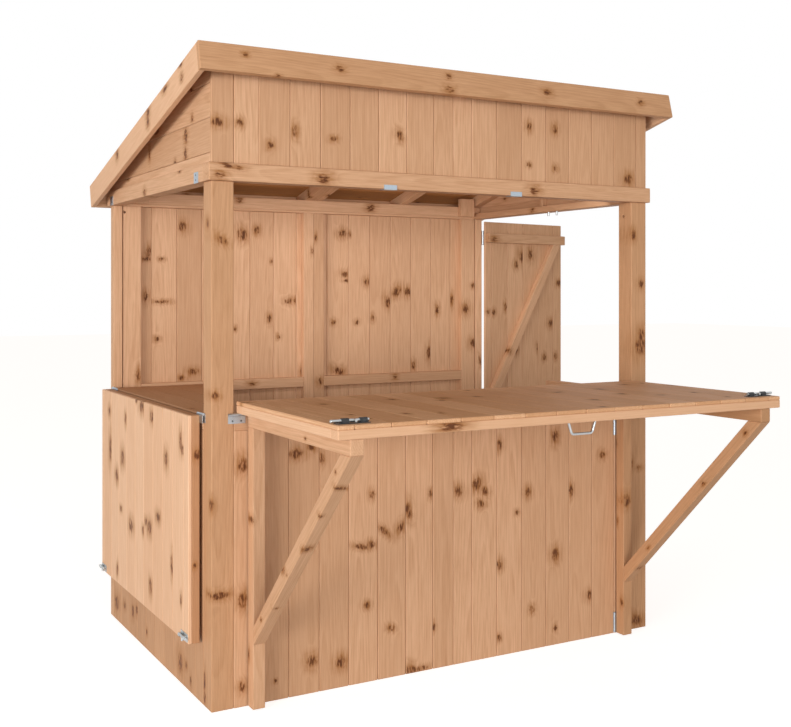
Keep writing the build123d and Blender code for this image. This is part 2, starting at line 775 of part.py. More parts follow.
pieces = {
    "front_posts": front_posts,
    "rear_posts": rear_posts,
    "front_beam": front_beam,
    "side_beams": side_beams,
    "rear_beam": rear_beam,
    "corner_blocks": corner_blocks,
    "front_wall_boards": front_wall_boards,
    "front_wall_frame": front_wall_frame,
    "front_wall_rail": front_wall_rail,
    "left_wall_boards": left_wall_boards,
    "left_wall_frame": left_wall_frame,
    "left_wall_rail": left_wall_rail,
    "corner_shelf": corner_shelf,
    "right_wall_boards": right_wall_boards,
    "right_wall_frame": right_wall_frame,
    "right_wall_rail": right_wall_rail,
    "back_wall_boards": back_wall_boards,
    "back_wall_frame": back_wall_frame,
    "front_panel_boards": front_panel_boards,
    "front_panel_frame": front_panel_frame,
    "gable_boards": gable_boards,
    "gable_studs": gable_studs,
    "rafters": rafters,
    "roof_boards": roof_boards,
    "roof_felt": roof_felt,
    "front_fascia": front_fascia,
    "rear_fascia": rear_fascia,
    "barge_boards": barge_boards,
    "beam_plates": beam_plates,
    "beam_pins": beam_pins,
    "fixed_hinge_leaves": fixed_hinge_leaves,
    "front_hatch_frame": front_hatch_frame,
    "front_hatch_boards": front_hatch_boards,
    "front_hatch_hinge_leaves": front_hatch_hinge_leaves,
    "front_hatch_handle": front_hatch_handle,
    "front_bolt_bodies": front_bolt_bodies,
    "front_left_shoot": front_left_shoot,
    "front_right_shoot": front_right_shoot,
    "left_hatch_boards": left_hatch_boards,
    "left_hatch_frame": left_hatch_frame,
    "left_hatch_hinge_leaves": left_hatch_hinge_leaves,
    "left_hatch_bolt_bodies": left_hatch_bolt_bodies,
    "left_hatch_front_shoot": left_hatch_front_shoot,
    "left_hatch_rear_shoot": left_hatch_rear_shoot,
    "left_bracket_leg": left_bracket_leg,
    "left_bracket_arm": left_bracket_arm,
    "left_bracket_brace": left_bracket_brace,
    "left_bracket_hinge_leaves": left_bracket_hinge_leaves,
    "right_bracket_leg": right_bracket_leg,
    "right_bracket_arm": right_bracket_arm,
    "right_bracket_brace": right_bracket_brace,
    "right_bracket_hinge_leaves": right_bracket_hinge_leaves,
    "door_boards": door_boards,
    "door_ledges": door_ledges,
    "door_braces": door_braces,
    "door_hinge_leaves": door_hinge_leaves,
}

os.makedirs("parts", exist_ok=True)
for name, piece in pieces.items():
    piece.part.label = name
    export_step(piece.part, f"parts/{name}.step")
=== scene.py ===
"""An outdoor garden bar of stained softwood, dressed timber by timber over its CAD frame.

Every board, stud, rail, rafter and post is a timber of its own, sawn to its place, with eased
arrises, grain that follows its length and knots of its own. Boards meet in V-joints over a hidden
tongue. Metalwork stays the CAD model's own and gets its plating and its screws here.
"""

import json
import logging
import math
import random
from dataclasses import dataclass, field
from enum import Enum

import bpy
from mathutils import Matrix, Vector


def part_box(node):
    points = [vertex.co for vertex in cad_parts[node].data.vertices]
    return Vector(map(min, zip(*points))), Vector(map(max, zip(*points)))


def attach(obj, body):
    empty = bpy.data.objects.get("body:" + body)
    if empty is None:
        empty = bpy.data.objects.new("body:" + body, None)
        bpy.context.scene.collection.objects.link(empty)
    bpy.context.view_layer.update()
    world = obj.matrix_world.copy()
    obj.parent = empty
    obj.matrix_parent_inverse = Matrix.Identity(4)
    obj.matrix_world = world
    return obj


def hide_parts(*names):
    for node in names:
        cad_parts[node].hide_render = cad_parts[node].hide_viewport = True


LOG = logging.getLogger("garden_bar")
MM = 0.001
Colour = tuple[float, float, float, float]
Point = tuple[float, float, float]
Material = bpy.types.Material
Socket = bpy.types.NodeSocket
Tree = bpy.types.NodeTree


class Axis(Enum):
    """The three directions of a timber's own frame."""

    X = 0
    Y = 1
    Z = 2


def linear(hex_colour: str) -> Colour:
    """Turns an sRGB colour to linear light.

    Args:
        hex_colour: The colour as #RRGGBB.

    Returns:
        Linear red, green and blue with an alpha of 1.
    """
    channels = [int(hex_colour[i:i + 2], 16) / 255 for i in (1, 3, 5)]
    light = [c / 12.92 if c <= 0.04045 else ((c + 0.055) / 1.055) ** 2.4 for c in channels]
    return (*light, 1.0)


def add_node(tree: Tree, kind: str, inputs: dict | None = None, **settings: object) -> bpy.types.Node:
    """Adds a node with its settings, constants and links.

    Args:
        tree: The node tree that the node joins.
        kind: The node's type name without the ShaderNode prefix.
        inputs: Socket name or number to a constant or to the output that feeds it.
        settings: Properties of the node itself.

    Returns:
        The new node.
    """
    made = tree.nodes.new("ShaderNode" + kind)
    for name, value in settings.items():
        setattr(made, name, value)
    for socket, value in (inputs or {}).items():
        if isinstance(value, Socket):
            tree.links.new(value, made.inputs[socket])
        else:
            made.inputs[socket].default_value = value
    return made


def calc(tree: Tree, operation: str, *values: Socket | float, clamp: bool = False) -> Socket:
    """Adds a calculation on numbers.

    Args:
        tree: The node tree that it joins.
        operation: The Math node's operation.
        values: Constants, or the outputs that feed it.
        clamp: Whether the answer stays between 0 and 1.

    Returns:
        The answer.
    """
    return add_node(tree, "Math", dict(enumerate(values)), operation=operation, use_clamp=clamp).outputs[0]


def calc_vector(tree: Tree, operation: str, *values: Socket | Point) -> Socket:
    """Adds a calculation on vectors.

    Args:
        tree: The node tree that it joins.
        operation: The VectorMath node's operation.
        values: Constants, or the outputs that feed it.

    Returns:
        The answer, which is a number for a length.
    """
    made = add_node(tree, "VectorMath", dict(enumerate(values)), operation=operation)
    return made.outputs["Value" if operation == "LENGTH" else "Vector"]


def spread(tree: Tree, value: Socket, start: float, end: float, low: float, high: float,
           smooth: bool = False) -> Socket:
    """Maps a value from one range to another.

    Args:
        tree: The node tree that it joins.
        value: What is mapped.
        start: The value that becomes low.
        end: The value that becomes high.
        low: The result at the start.
        high: The result at the end.
        smooth: Whether the change is eased at both ends.

    Returns:
        The mapped value.
    """
    return add_node(tree, "MapRange", {0: value, 1: start, 2: end, 3: low, 4: high},
                    interpolation_type="SMOOTHSTEP" if smooth else "LINEAR").outputs[0]


def noise(tree: Tree, place: Socket, scale: float, detail: float, roughness: float = 0.5) -> Socket:
    """Adds a noise texture.

    Args:
        tree: The node tree that it joins.
        place: Where it is looked up.
        scale: Its scale.
        detail: How many finer layers it has.
        roughness: How strong the finer layers are.

    Returns:
        The noise, from 0 to 1.
    """
    return add_node(tree, "TexNoise", {"Vector": place, "Scale": scale, "Detail": detail,
                                       "Roughness": roughness}).outputs[0]


def attribute(tree: Tree, name: str, output: str = "Vector") -> Socket:
    """Reads a mesh attribute by its name."""
    return add_node(tree, "Attribute", attribute_name=name).outputs[output]


def mix(tree: Tree, factor: Socket, below: Socket | Colour, above: Socket | Colour) -> Socket:
    """Mixes two colours by a factor."""
    return add_node(tree, "Mix", {0: factor, 6: below, 7: above}, data_type="RGBA").outputs[2]


def ramp(tree: Tree, value: Socket, stops: list[tuple[float, Colour]]) -> Socket:
    """Adds a colour ramp.

    Args:
        tree: The node tree that it joins.
        value: The place on the ramp.
        stops: Place and colour of each stop, from low to high.

    Returns:
        The ramp's colour.
    """
    made = add_node(tree, "ValToRGB", {0: value})
    elements = made.color_ramp.elements
    while len(elements) > 1:
        elements.remove(elements[-1])
    elements[0].position, elements[0].color = stops[0]
    for place, colour in stops[1:]:
        elements.new(place).color = colour
    return made.outputs[0]


def surface(tree: Tree, relief: dict[str, Socket | float], inputs: dict[str, Socket | float]) -> None:
    """Ends a material with its bump, its shader and its output.

    Args:
        tree: The material's tree.
        relief: The bump's inputs.
        inputs: The shader's inputs, apart from the normal.
    """
    bump = add_node(tree, "Bump", relief)
    shader = add_node(tree, "BsdfPrincipled", {**inputs, "Normal": bump.outputs[0]})
    add_node(tree, "OutputMaterial", {"Surface": shader.outputs[0]})


def seen_directly(tree: Tree) -> Socket:
    """Tells the camera's and the reflections' rays, which give 1, from all others, which give 0."""
    path = add_node(tree, "LightPath")
    return calc(tree, "MAXIMUM", path.outputs["Is Camera Ray"], path.outputs["Is Glossy Ray"])


def grey(value: float) -> Colour:
    """A neutral colour of that value."""
    return (value, value, value, 1.0)


def new_material(name: str) -> tuple[Material, Tree]:
    """Makes an empty node material.

    Args:
        name: The finish's name.

    Returns:
        The material and its cleared node tree.
    """
    material = bpy.data.materials.new(name)
    material.use_nodes = True
    material.node_tree.nodes.clear()
    return material, material.node_tree


@dataclass(frozen=True)
class Knot:
    """A knot in a timber: the way that it goes through, its middle, its half sizes and its tilt."""

    face: Axis
    middle: tuple[float, float]
    half: tuple[float, float]
    tilt: float = 0.0
    depth: float = 40 * MM

    def place(self, surface: float) -> tuple[list[float], list[float], list[float]]:
        """Lays the knot out in the piece's frame.

        Args:
            surface: Where the timber's face lies along the way through.

        Returns:
            Its middle, its half sizes and its turn about the three axes.
        """
        at, reach, turn = [0.0] * 3, [0.0] * 3, [0.0] * 3
        wide, tall = (axis for axis in range(3) if axis != self.face.value)
        at[wide], at[tall], at[self.face.value] = *self.middle, surface
        reach[wide], reach[tall], reach[self.face.value] = *self.half, self.depth
        turn[self.face.value] = self.tilt
        return at, reach, turn


def knots(face: Axis, *rows: tuple[float, float, float, float, float], depth: float = 40) -> tuple[Knot, ...]:
    """Knots from rows of middle, half sizes in millimetres and tilt in degrees.

    Args:
        face: The way that they go through the timber.
        rows: The two middle values, the two half sizes and the tilt of each knot.
        depth: How deep they reach in millimetres.

    Returns:
        The knots.
    """
    return tuple(Knot(face, (u * MM, v * MM), (wide * MM, tall * MM), math.radians(tilt), depth * MM)
                 for (u, v, wide, tall, tilt) in rows)


KNOTS: dict[str, tuple[Knot, ...]] = {
    "front_wall_matchboard": (
        *knots(Axis.Y, (-796, 771, 14, 19, 0), (-796, 341, 12, 19, 0), (-796, 65, 9, 13, 0),
               (-610, 794, 22, 12, 0), (-552, 813, 13, 10, 0), (-516, 773, 7, 15, 0),
               (-445, 667, 24, 4, 8), (-574, 476, 16, 7, -12), (-326, 634, 10, 12, 0), (-95, 616, 7, 11, 0),
               (-183, 564, 10, 23, -15), (-370, 461, 23, 7, 15), (-332, 465, 14, 10, 0), (-281, 505, 23, 8, 40),
               (-216, 512, 10, 17, 30), (-347, 262, 10, 9, 0), (-254, 170, 13, 8, 20), (-81, 147, 5, 11, 0),
               (-553, 106, 16, 16, 0), (-445, 85, 16, 16, 0), (-174, 12, 20, 14, 30), (-130, 11, 20, 7, 0),
               (-684, 62, 6, 5, 0), (196, 766, 11, 15, 0), (451, 782, 12, 19, 0), (679, 696, 11, 11, 0),
               (22, 615, 13, 16, -20), (100, 633, 15, 18, 25), (135, 605, 11, 14, -25), (117, 560, 13, 11, 0),
               (326, 584, 10, 14, 0), (276, 513, 6, 7, 0), (526, 571, 9, 17, 0), (196, 330, 11, 14, 0),
               (451, 340, 14, 19, 0), (618, 164, 15, 14, 20), (343, 148, 9, 11, 0), (453, 62, 7, 10, 0),
               (196, 65, 7, 9, 0)),
    ),
    "front_post_timbers": (
        *knots(Axis.Y, (-875, 365, 30, 10, 0), (-886, 996, 10, 9, 0), (-865, 1487, 17, 9, 30), (864, 631, 9, 7, 0),
               (849, 34, 26, 16, 20), (837, 1546, 8, 16, 0), (875, 1353, 10, 14, 0), (872, 1109, 21, 28, 0),
               (875, 1153, 13, 20, 0)),
        *knots(Axis.X, (36, 29, 9, 16, 0), (-18, 650, 11, 16, 0), (42, 80, 11, 26, 0), (9, 1541, 11, 13, 0), depth=8),
    ),
    "front_panel_matchboard": (
        *knots(Axis.Y, (-880, 1859, 17, 11, 0), (-804, 1862, 10, 10, 0), (-472, 1833, 11, 7, -10),
               (-613, 1849, 9, 15, 0), (-701, 1797, 9, 10, 0), (-218, 1861, 10, 14, -25), (330, 1933, 10, 13, 0),
               (451, 1933, 10, 13, 0), (330, 1791, 7, 7, 0), (454, 1786, 8, 9, 0), (809, 1764, 17, 16, 0)),
    ),
    "front_beam_timber": (
        *knots(Axis.Y, (-876, 1690, 15, 11, 0), (-839, 1722, 30, 7, 10), (-515, 1697, 20, 13, 0),
               (346, 1695, 18, 13, 0)),
    ),
    "front_fascia_board": (
        *knots(Axis.X, (61, -812, 6, 8, 0), (48, -484, 9, 12, 0), (3, -706, 3, 6, 0), (64, -61, 8, 9, 0),
               (17, -64, 10, 14, 0), (45, 362, 10, 15, 0), (47, 809, 9, 10, 0), (-4, 318, 3, 8, 0)),
    ),
    "barge_board_timbers": (
        *knots(Axis.Z, (170, 85, 14, 6, 0), (173, 44, 11, 9, 0), (342, 77, 18, 8, 0), (543, 75, 16, 15, 0),
               (551, 46, 13, 14, 0), (956, 75, 13, 15, 0)),
    ),
    "gable_matchboard": (
        *knots(Axis.X, (166, 1985, 12, 7, 0), (159, 1892, 8, 10, 0), (222, 1847, 13, 23, 0),
               (225, 1784, 12, 17, 0), (551, 1902, 26, 11, 0), (634, 1825, 9, 18, 0), (337, 1769, 9, 7, 0),
               (919, 1763, 12, 6, 0)),
    ),
    "side_beam_timbers": (
        *knots(Axis.X, (492, 1751, 12, 12, 0), (252, 1728, 12, 5, 0), (657, 1687, 12, 11, 0), (144, 1741, 9, 9, 0)),
    ),
    "back_wall_matchboard": (
        *knots(Axis.Y, (-601, 1598, 16, 16, 0), (-743, 1490, 11, 21, 20), (-754, 1459, 17, 7, 0),
               (-690, 1459, 9, 6, 0), (-690, 1281, 26, 6, 0), (-758, 1302, 8, 17, 0), (-711, 1125, 9, 8, 0),
               (-552, 983, 18, 11, 0), (-603, 959, 11, 8, 0), (-331, 1572, 19, 22, -25), (-263, 1593, 10, 13, 0),
               (-193, 1455, 5, 7, 0), (-113, 1281, 15, 11, 0), (-77, 1284, 7, 9, 0), (-363, 1164, 6, 8, 0),
               (-205, 1206, 8, 15, 0), (-159, 1123, 7, 8, 0), (-45, 967, 7, 18, 0), (156, 1589, 17, 14, 0),
               (195, 1586, 5, 8, 0), (169, 1402, 15, 11, 0), (178, 1373, 15, 5, 0), (285, 1369, 14, 14, 0),
               (233, 1182, 9, 8, 0), (110, 1183, 9, 9, 0), (313, 1202, 7, 12, 0), (396, 1273, 14, 23, -25),
               (441, 1323, 22, 16, -40), (501, 1322, 16, 16, 35), (663, 1238, 9, 17, 0), (619, 1031, 11, 24, 0),
               (532, 975, 9, 14, 0), (135, 962, 25, 14, 20), (747, 1282, 6, 19, 0)),
    ),
    "back_wall_studs": (
        *knots(Axis.Y, (852, 1352, 10, 9, 0), (809, 1239, 15, 19, 0), (856, 1073, 17, 18, 0), (30, 919, 11, 13, 0),
               (-8, 1505, 6, 13, 0), (8, 1563, 5, 13, 0), (-298, 923, 14, 8, 0), (416, 926, 11, 9, 0),
               (-797, 980, 8, 21, 0)),
    ),
    "rear_beam_timber": (
        *knots(Axis.Y, (285, 1709, 18, 14, -20), (-358, 1718, 11, 9, 0)),
    ),
    "door_matchboard": (
        *knots(Axis.Y, (262, 1494, 18, 25, -20), (320, 1510, 15, 20, 0), (218, 1458, 11, 15, 0),
               (142, 1248, 8, 15, 0), (61, 1223, 8, 12, 0), (23, 1223, 8, 9, 0), (471, 1160, 15, 15, 0),
               (531, 1367, 14, 12, 0), (375, 1038, 9, 15, 0), (423, 988, 10, 12, 0), (506, 989, 9, 13, 0),
               (218, 1031, 9, 15, 0)),
    ),
    "door_ledge_timbers": (
        *knots(Axis.Y, (36, 1576, 20, 10, 0)),
    ),
    "door_brace": (
        *knots(Axis.Y, (254, 39, 11, 8, 0)),
    ),
    "left_hatch_matchboard": (
        *knots(Axis.X, (1014, 850, 11, 16, 0), (781, 844, 10, 17, 0), (996, 709, 15, 39, 0), (823, 693, 17, 23, 0),
               (904, 615, 14, 19, 0), (844, 495, 11, 9, 0), (447, 888, 15, 17, 0), (568, 911, 23, 18, 0),
               (648, 925, 20, 7, 0), (285, 761, 14, 20, 0), (132, 838, 10, 23, 0), (114, 812, 10, 13, 0),
               (375, 547, 17, 14, 0), (476, 493, 19, 19, 30), (516, 505, 11, 11, 0), (553, 468, 9, 12, 0),
               (707, 458, 21, 19, 20), (223, 417, 9, 27, 0), (894, 254, 9, 19, 0), (462, 289, 11, 21, 0),
               (127, 326, 7, 13, 0)),
    ),
    "left_hatch_rails": (
        *knots(Axis.Y, (-920, 802, 9, 13, 0), (-928, 447, 5, 8, 0)),
    ),
    "left_wall_matchboard": (
        *knots(Axis.X, (1082, 71, 24, 24, 0), (965, 90, 11, 12, 0), (850, 95, 12, 19, 0), (798, 113, 12, 15, 0),
               (675, 66, 11, 9, 0), (278, 69, 20, 27, 0), (220, 78, 9, 10, 0), (174, 38, 7, 13, 0)),
    ),
    "left_bracket_leg_timber": (
        *knots(Axis.Y, (-784, 450, 5, 6, 0), (-781, 604, 4, 8, 0)),
        *knots(Axis.X, (-42, 172, 6, 13, 0), (-25, 767, 6, 10, 0), depth=8),
    ),
    "left_bracket_arm_timber": (
        *knots(Axis.X, (-470, 908, 5, 4, 0), depth=8),
    ),
    "left_bracket_brace_timber": (
        *knots(Axis.X, (-373, 36, 9, 8, 0), (-384, 12, 4, 4, 0), (-861, 24, 4, 4, 0), (-116, 22, 5, 4, 0), depth=8),
        *knots(Axis.Z, (21, -822, 18, 6, 10), (11, -532, 18, 8, -15), (2, -693, 7, 6, 0), (12, -216, 5, 4, 0), depth=8),
    ),
    "counter_frame": (
        *knots(Axis.Y, (-473, 955, 32, 13, 0)),
    ),
    "right_bracket_leg_timber": (
        *knots(Axis.Y, (756, 521, 15, 19, 0)),
        *knots(Axis.X, (-37, 740, 4, 10, 0), (-41, 436, 5, 12, 0), (-66, 130, 6, 12, 0), depth=8),
    ),
    "right_bracket_brace_timber": (
        *knots(Axis.X, (-211, 16, 7, 4, 0), (-605, 15, 7, 6, 0), (-881, 19, 7, 6, 0), depth=8),
        *knots(Axis.Z, (20, -95, 10, 8, 20), depth=8),
    ),
}

MOST_KNOTS = 8
KNOT_PARTS = ("at", "reach", "turn")


@dataclass(frozen=True)
class StainedSoftwood:
    """Planed pine under a tan penetrating stain: matt, warm, with the late wood and knots showing.

    Growth rings are 4 mm apart, drawn at 6 mm, and the fibres under 1 mm, drawn at 1.6 mm, so that they
    show. Streaks of resin 8 mm wide run for a hand's breadth along the grain.
    The stain darkens the knots most and leaves a brown halo where the fibres turn round them.
    """

    name: str = "stained_softwood"
    early_wood: str = "#E7BC98"
    late_wood: str = "#B8865C"
    deep_tone: str = "#B28560"
    knot_heart: str = "#875124"
    knot_bark: str = "#5C300F"
    halo: str = "#A06C3B"
    ring_gap: float = 6.0 * MM
    fibre_gap: float = 1.6 * MM
    streak_gap: float = 8 * MM
    knot_wobble: float = 19 * MM
    roughness: float = 0.62

    def material(self) -> Material:
        """Makes the wood.

        Returns:
            The material.
        """
        material, tree = new_material(self.name)
        log = attribute(tree, "log")
        tone = attribute(tree, "tone", "Fac")
        near = self._nearest_knot(tree, log)
        rings = self._growth_rings(tree, log, near)
        fibres = self._fibres(tree, log)
        colour = self._stain(tree, rings, fibres, tone, log, near)
        relief = calc(tree, "MULTIPLY_ADD", fibres, 0.35, rings)
        rough = spread(tree, fibres, 0.0, 1.0, self.roughness - 0.08, self.roughness + 0.06)
        surface(tree, {"Strength": 0.12, "Distance": 0.6 * MM, "Height": relief},
                {"Base Color": colour, "Roughness": rough, "Specular IOR Level": 0.32})
        return material

    def _nearest_knot(self, tree: Tree, log: Socket) -> Socket:
        """Distance to the timber's nearest knot, where 1 is that knot's edge.

        Args:
            tree: The material's tree.
            log: Place in the trunk, for the wobble of the knots' outlines.

        Returns:
            The distance socket.
        """
        ragged = add_node(tree, "TexNoise", {"Vector": log, "Scale": 42.0, "Detail": 4.0, "Roughness": 0.75})
        centred = calc_vector(tree, "SUBTRACT", ragged.outputs["Color"], (0.5, 0.5, 0.5))
        moved = calc_vector(tree, "MULTIPLY_ADD", centred, (self.knot_wobble,) * 3, attribute(tree, "spot"))
        nearest: Socket | float = 9.0
        for number in range(MOST_KNOTS):
            at, reach, turn = (attribute(tree, f"knot_{part}_{number}") for part in KNOT_PARTS)
            local = add_node(tree, "Mapping", {"Vector": moved, "Location": at, "Rotation": turn, "Scale": reach},
                             vector_type="TEXTURE")
            nearest = calc(tree, "MINIMUM", calc_vector(tree, "LENGTH", local.outputs[0]), nearest)
        return nearest

    def _growth_rings(self, tree: Tree, log: Socket,
                      near: Socket) -> Socket:
        """Late wood as rings round the trunk's pith, which bulge round each knot.

        Args:
            tree: The material's tree.
            log: Place in the trunk; X runs along it.
            near: Distance to the nearest knot.

        Returns:
            A socket that is 1 in late wood and 0 in early wood.
        """
        radius = calc_vector(tree, "LENGTH", calc_vector(tree, "MULTIPLY", log, (0.0, 1.0, 1.0)))
        slow = calc_vector(tree, "MULTIPLY", log, (1.6, 14.0, 14.0))
        swayed = calc(tree, "MULTIPLY_ADD", noise(tree, slow, 1.0, 2.0), 16 * MM, radius)
        bulge = calc(tree, "EXPONENT", calc(tree, "MULTIPLY", calc(tree, "MULTIPLY", near, near), -0.22))
        bulged = calc(tree, "MULTIPLY_ADD", bulge, 13 * MM, swayed)
        year = calc(tree, "FRACT", calc(tree, "MULTIPLY", bulged, 1 / self.ring_gap))
        return ramp(tree, year, [(0.0, grey(0.05)), (0.45, grey(0.22)), (0.78, grey(0.85)), (0.9, grey(1.0)),
                                 (1.0, grey(0.05))])

    def _fibres(self, tree: Tree, log: Socket) -> Socket:
        """Fine fibres, stretched along the trunk.

        Args:
            tree: The material's tree.
            log: Place in the trunk.

        Returns:
            A socket from 0 to 1.
        """
        fine = 1 / self.fibre_gap
        return noise(tree, calc_vector(tree, "MULTIPLY", log, (fine / 60, fine, fine)), 0.6, 3.0, 0.6)

    def _stain(self, tree: Tree, rings: Socket, fibres: Socket,
               tone: Socket, log: Socket,
               near: Socket) -> Socket:
        """The stain's colour over rings, fibres and knots.

        Args:
            tree: The material's tree.
            rings: 1 in late wood.
            fibres: 0 to 1 along the fibres.
            tone: How deep the stain took in this timber, from 0 to 1.
            log: Place in the trunk.
            near: Distance to the nearest knot.

        Returns:
            The base colour socket.
        """
        across = 1 / self.streak_gap
        streaks = noise(tree, calc_vector(tree, "MULTIPLY", log, (8.0, across, across)), 1.0, 3.0, 0.65)
        lines = calc(tree, "ADD", calc(tree, "MULTIPLY", rings, 0.22), spread(tree, fibres, 0.32, 0.7, 0.0, 0.34))
        grain = calc(tree, "ADD", lines, spread(tree, streaks, 0.36, 0.72, 0.0, 0.3), clamp=True)
        wood = mix(tree, grain, linear(self.early_wood), linear(self.late_wood))
        deep = calc(tree, "MULTIPLY_ADD", noise(tree, log, 5.0, 3.0), 0.25, calc(tree, "MULTIPLY", tone, 0.42))
        toned = mix(tree, deep, wood, linear(self.deep_tone))
        flare = calc(tree, "MULTIPLY", spread(tree, near, 1.0, 3.6, 0.55, 0.0, smooth=True),
                     spread(tree, streaks, 0.36, 0.66, 0.3, 1.6), clamp=True)
        haloed = mix(tree, flare, toned, linear(self.halo))
        slant = add_node(tree, "Mapping", {"Vector": log, "Rotation": (0.5, 0.7, 0.7), "Scale": (45.0, 150.0, 150.0)})
        patchy = spread(tree, noise(tree, slant.outputs[0], 1.0, 2.0), 0.38, 0.62, 0.28, 1.15)
        solid = spread(tree, near, 0.45, 1.75, 1.0, 0.0, smooth=True)
        dark = calc(tree, "MULTIPLY", solid, patchy, clamp=True)
        amount = ramp(tree, dark, [(0.0, grey(0.0)), (0.3, grey(0.45)), (0.6, grey(0.85)), (0.85, grey(1.0))])
        core = ramp(tree, dark, [(0.0, linear(self.halo)), (0.4, linear(self.knot_heart)),
                                 (0.95, linear(self.knot_bark))])
        return mix(tree, amount, haloed, core)


@dataclass(frozen=True)
class ZincPlate:
    """Pressed steel with bright zinc plating: a pale blue-grey metal with a faint crystal bloom.

    The bloom's grains are 2 mm across. Handling leaves the gloss uneven.
    """

    name: str = "zinc_plated_steel"
    colour: str = "#C9CCCC"
    dull: str = "#9FA3A4"
    grain: float = 2.0 * MM
    roughness: float = 0.34
    flat: bool = False

    def material(self) -> Material:
        """Makes the plating."""
        material, tree = new_material(self.name)
        place = add_node(tree, "TexCoord").outputs["Object"]
        bloom = noise(tree, place, 1 / self.grain, 2.0)
        colour = mix(tree, bloom, linear(self.colour), linear(self.dull))
        rough = spread(tree, bloom, 0.0, 1.0, self.roughness - 0.08, self.roughness + 0.12)
        relief = {"Strength": 0.15, "Distance": 0.1 * MM, "Height": bloom}
        if self.flat:
            relief["Normal"] = add_node(tree, "NewGeometry").outputs["True Normal"]
        surface(tree, relief, {"Base Color": colour, "Metallic": 1.0, "Roughness": rough})
        return material


@dataclass(frozen=True)
class BlackJapan:
    """Stoved black lacquer on pressed steel: nearly black, half gloss, with fine orange peel."""

    name: str = "black_japanned_steel"
    colour: str = "#232629"
    worn: str = "#3A3E42"
    peel: float = 0.8 * MM
    roughness: float = 0.36

    def material(self) -> Material:
        """Makes the lacquer."""
        material, tree = new_material(self.name)
        place = add_node(tree, "TexCoord").outputs["Object"]
        peel = noise(tree, place, 1 / self.peel, 1.0)
        wear = noise(tree, place, 90.0, 4.0)
        colour = mix(tree, spread(tree, wear, 0.55, 0.75, 0.0, 1.0), linear(self.colour), linear(self.worn))
        rough = spread(tree, wear, 0.0, 1.0, self.roughness - 0.06, self.roughness + 0.1)
        surface(tree, {"Strength": 0.1, "Distance": 0.1 * MM, "Height": peel},
                {"Base Color": colour, "Roughness": rough})
        return material


@dataclass(frozen=True)
class MineralFelt:
    """Bitumen roofing felt with a pressed-in mineral chip: dark grey-green, dead matt and gritty.

    The chips are 1.5 mm, drawn at 3 mm so that they show.
    """

    name: str = "mineral_roofing_felt"
    chip: str = "#6C746C"
    bitumen: str = "#3B403C"
    grit: float = 3.0 * MM

    def material(self) -> Material:
        """Makes the felt."""
        material, tree = new_material(self.name)
        place = add_node(tree, "TexCoord").outputs["Object"]
        chips = add_node(tree, "TexVoronoi", {"Vector": place, "Scale": 1 / self.grit}).outputs["Distance"]
        amount = calc(tree, "MULTIPLY", chips, noise(tree, place, 4.0, 5.0))
        colour = mix(tree, spread(tree, amount, 0.05, 0.45, 0.0, 1.0), linear(self.chip), linear(self.bitumen))
        surface(tree, {"Strength": 0.5, "Distance": 1.0 * MM, "Height": chips},
                {"Base Color": colour, "Roughness": 0.93, "Specular IOR Level": 0.2})
        return material


def deselect() -> None:
    """Leaves object mode with nothing selected."""
    if bpy.context.object and bpy.context.object.mode != "OBJECT":
        bpy.ops.object.mode_set(mode="OBJECT")
    bpy.ops.object.select_all(action="DESELECT")


def join(parts: list[bpy.types.Object], name: str) -> bpy.types.Object:
    """Joins objects into one.

    Args:
        parts: What is joined; all of it goes into the first.
        name: The joined object's name.

    Returns:
        The joined object.
    """
    deselect()
    for part in parts:
        part.select_set(True)
    bpy.context.view_layer.objects.active = parts[0]
    if len(parts) > 1:
        bpy.ops.object.join()
    parts[0].name = name
    parts[0].data.name = name
    return parts[0]


@dataclass(frozen=True)
class Cut:
    """A saw cut: what lies on the side that the normal points to is taken off."""

    point: Point
    normal: Point


@dataclass(frozen=True)
class Bore:
    """A hole that a bolt's shoot slides into."""

    mouth: Point
    inward: Point
    depth: float = 25 * MM
    radius: float = 5.5 * MM
    sides: int = 16

    def enters(self, low: Point, high: Point) -> bool:
        """Tells whether the hole goes into a timber between two corners."""
        tip = [start + step * self.depth / 4 for start, step in zip(self.mouth, self.inward)]
        return all(a < at < b for a, at, b in zip(low, tip, high))

    def drill(self, board: bpy.types.Object) -> None:
        """Takes the hole out of a timber.

        Args:
            board: The timber.
        """
        inward = Vector(self.inward)
        deselect()
        bpy.ops.mesh.primitive_cylinder_add(vertices=self.sides, radius=self.radius, depth=2 * self.depth,
                                            location=self.mouth)
        bit = bpy.context.object
        bit.rotation_euler = inward.to_track_quat("Z", "Y").to_euler()
        bpy.ops.object.transform_apply(location=True, rotation=True, scale=True)
        deselect()
        board.select_set(True)
        bpy.context.view_layer.objects.active = board
        hole = board.modifiers.new("Keep", "BOOLEAN")
        hole.object = bit
        hole.operation = "DIFFERENCE"
        hole.solver = "EXACT"
        bpy.ops.object.modifier_apply(modifier=hole.name)
        bpy.data.objects.remove(bit)


TRUNK_LENGTH = 40.0
OFF_PITH = 45 * MM
PITH_DEPTHS = (20 * MM, 120 * MM)
MOST_LEAN = 0.03
MOST_WIND = 0.012
KNOTS_PER_METRE = 1.8
KNOT_CHANCES = (0.4, 1.5)
KNOT_HALVES = (5.0, 13.0)
KNOT_STRETCH = 1.3
MOST_TILT = 25
FAR_AWAY = 99.0


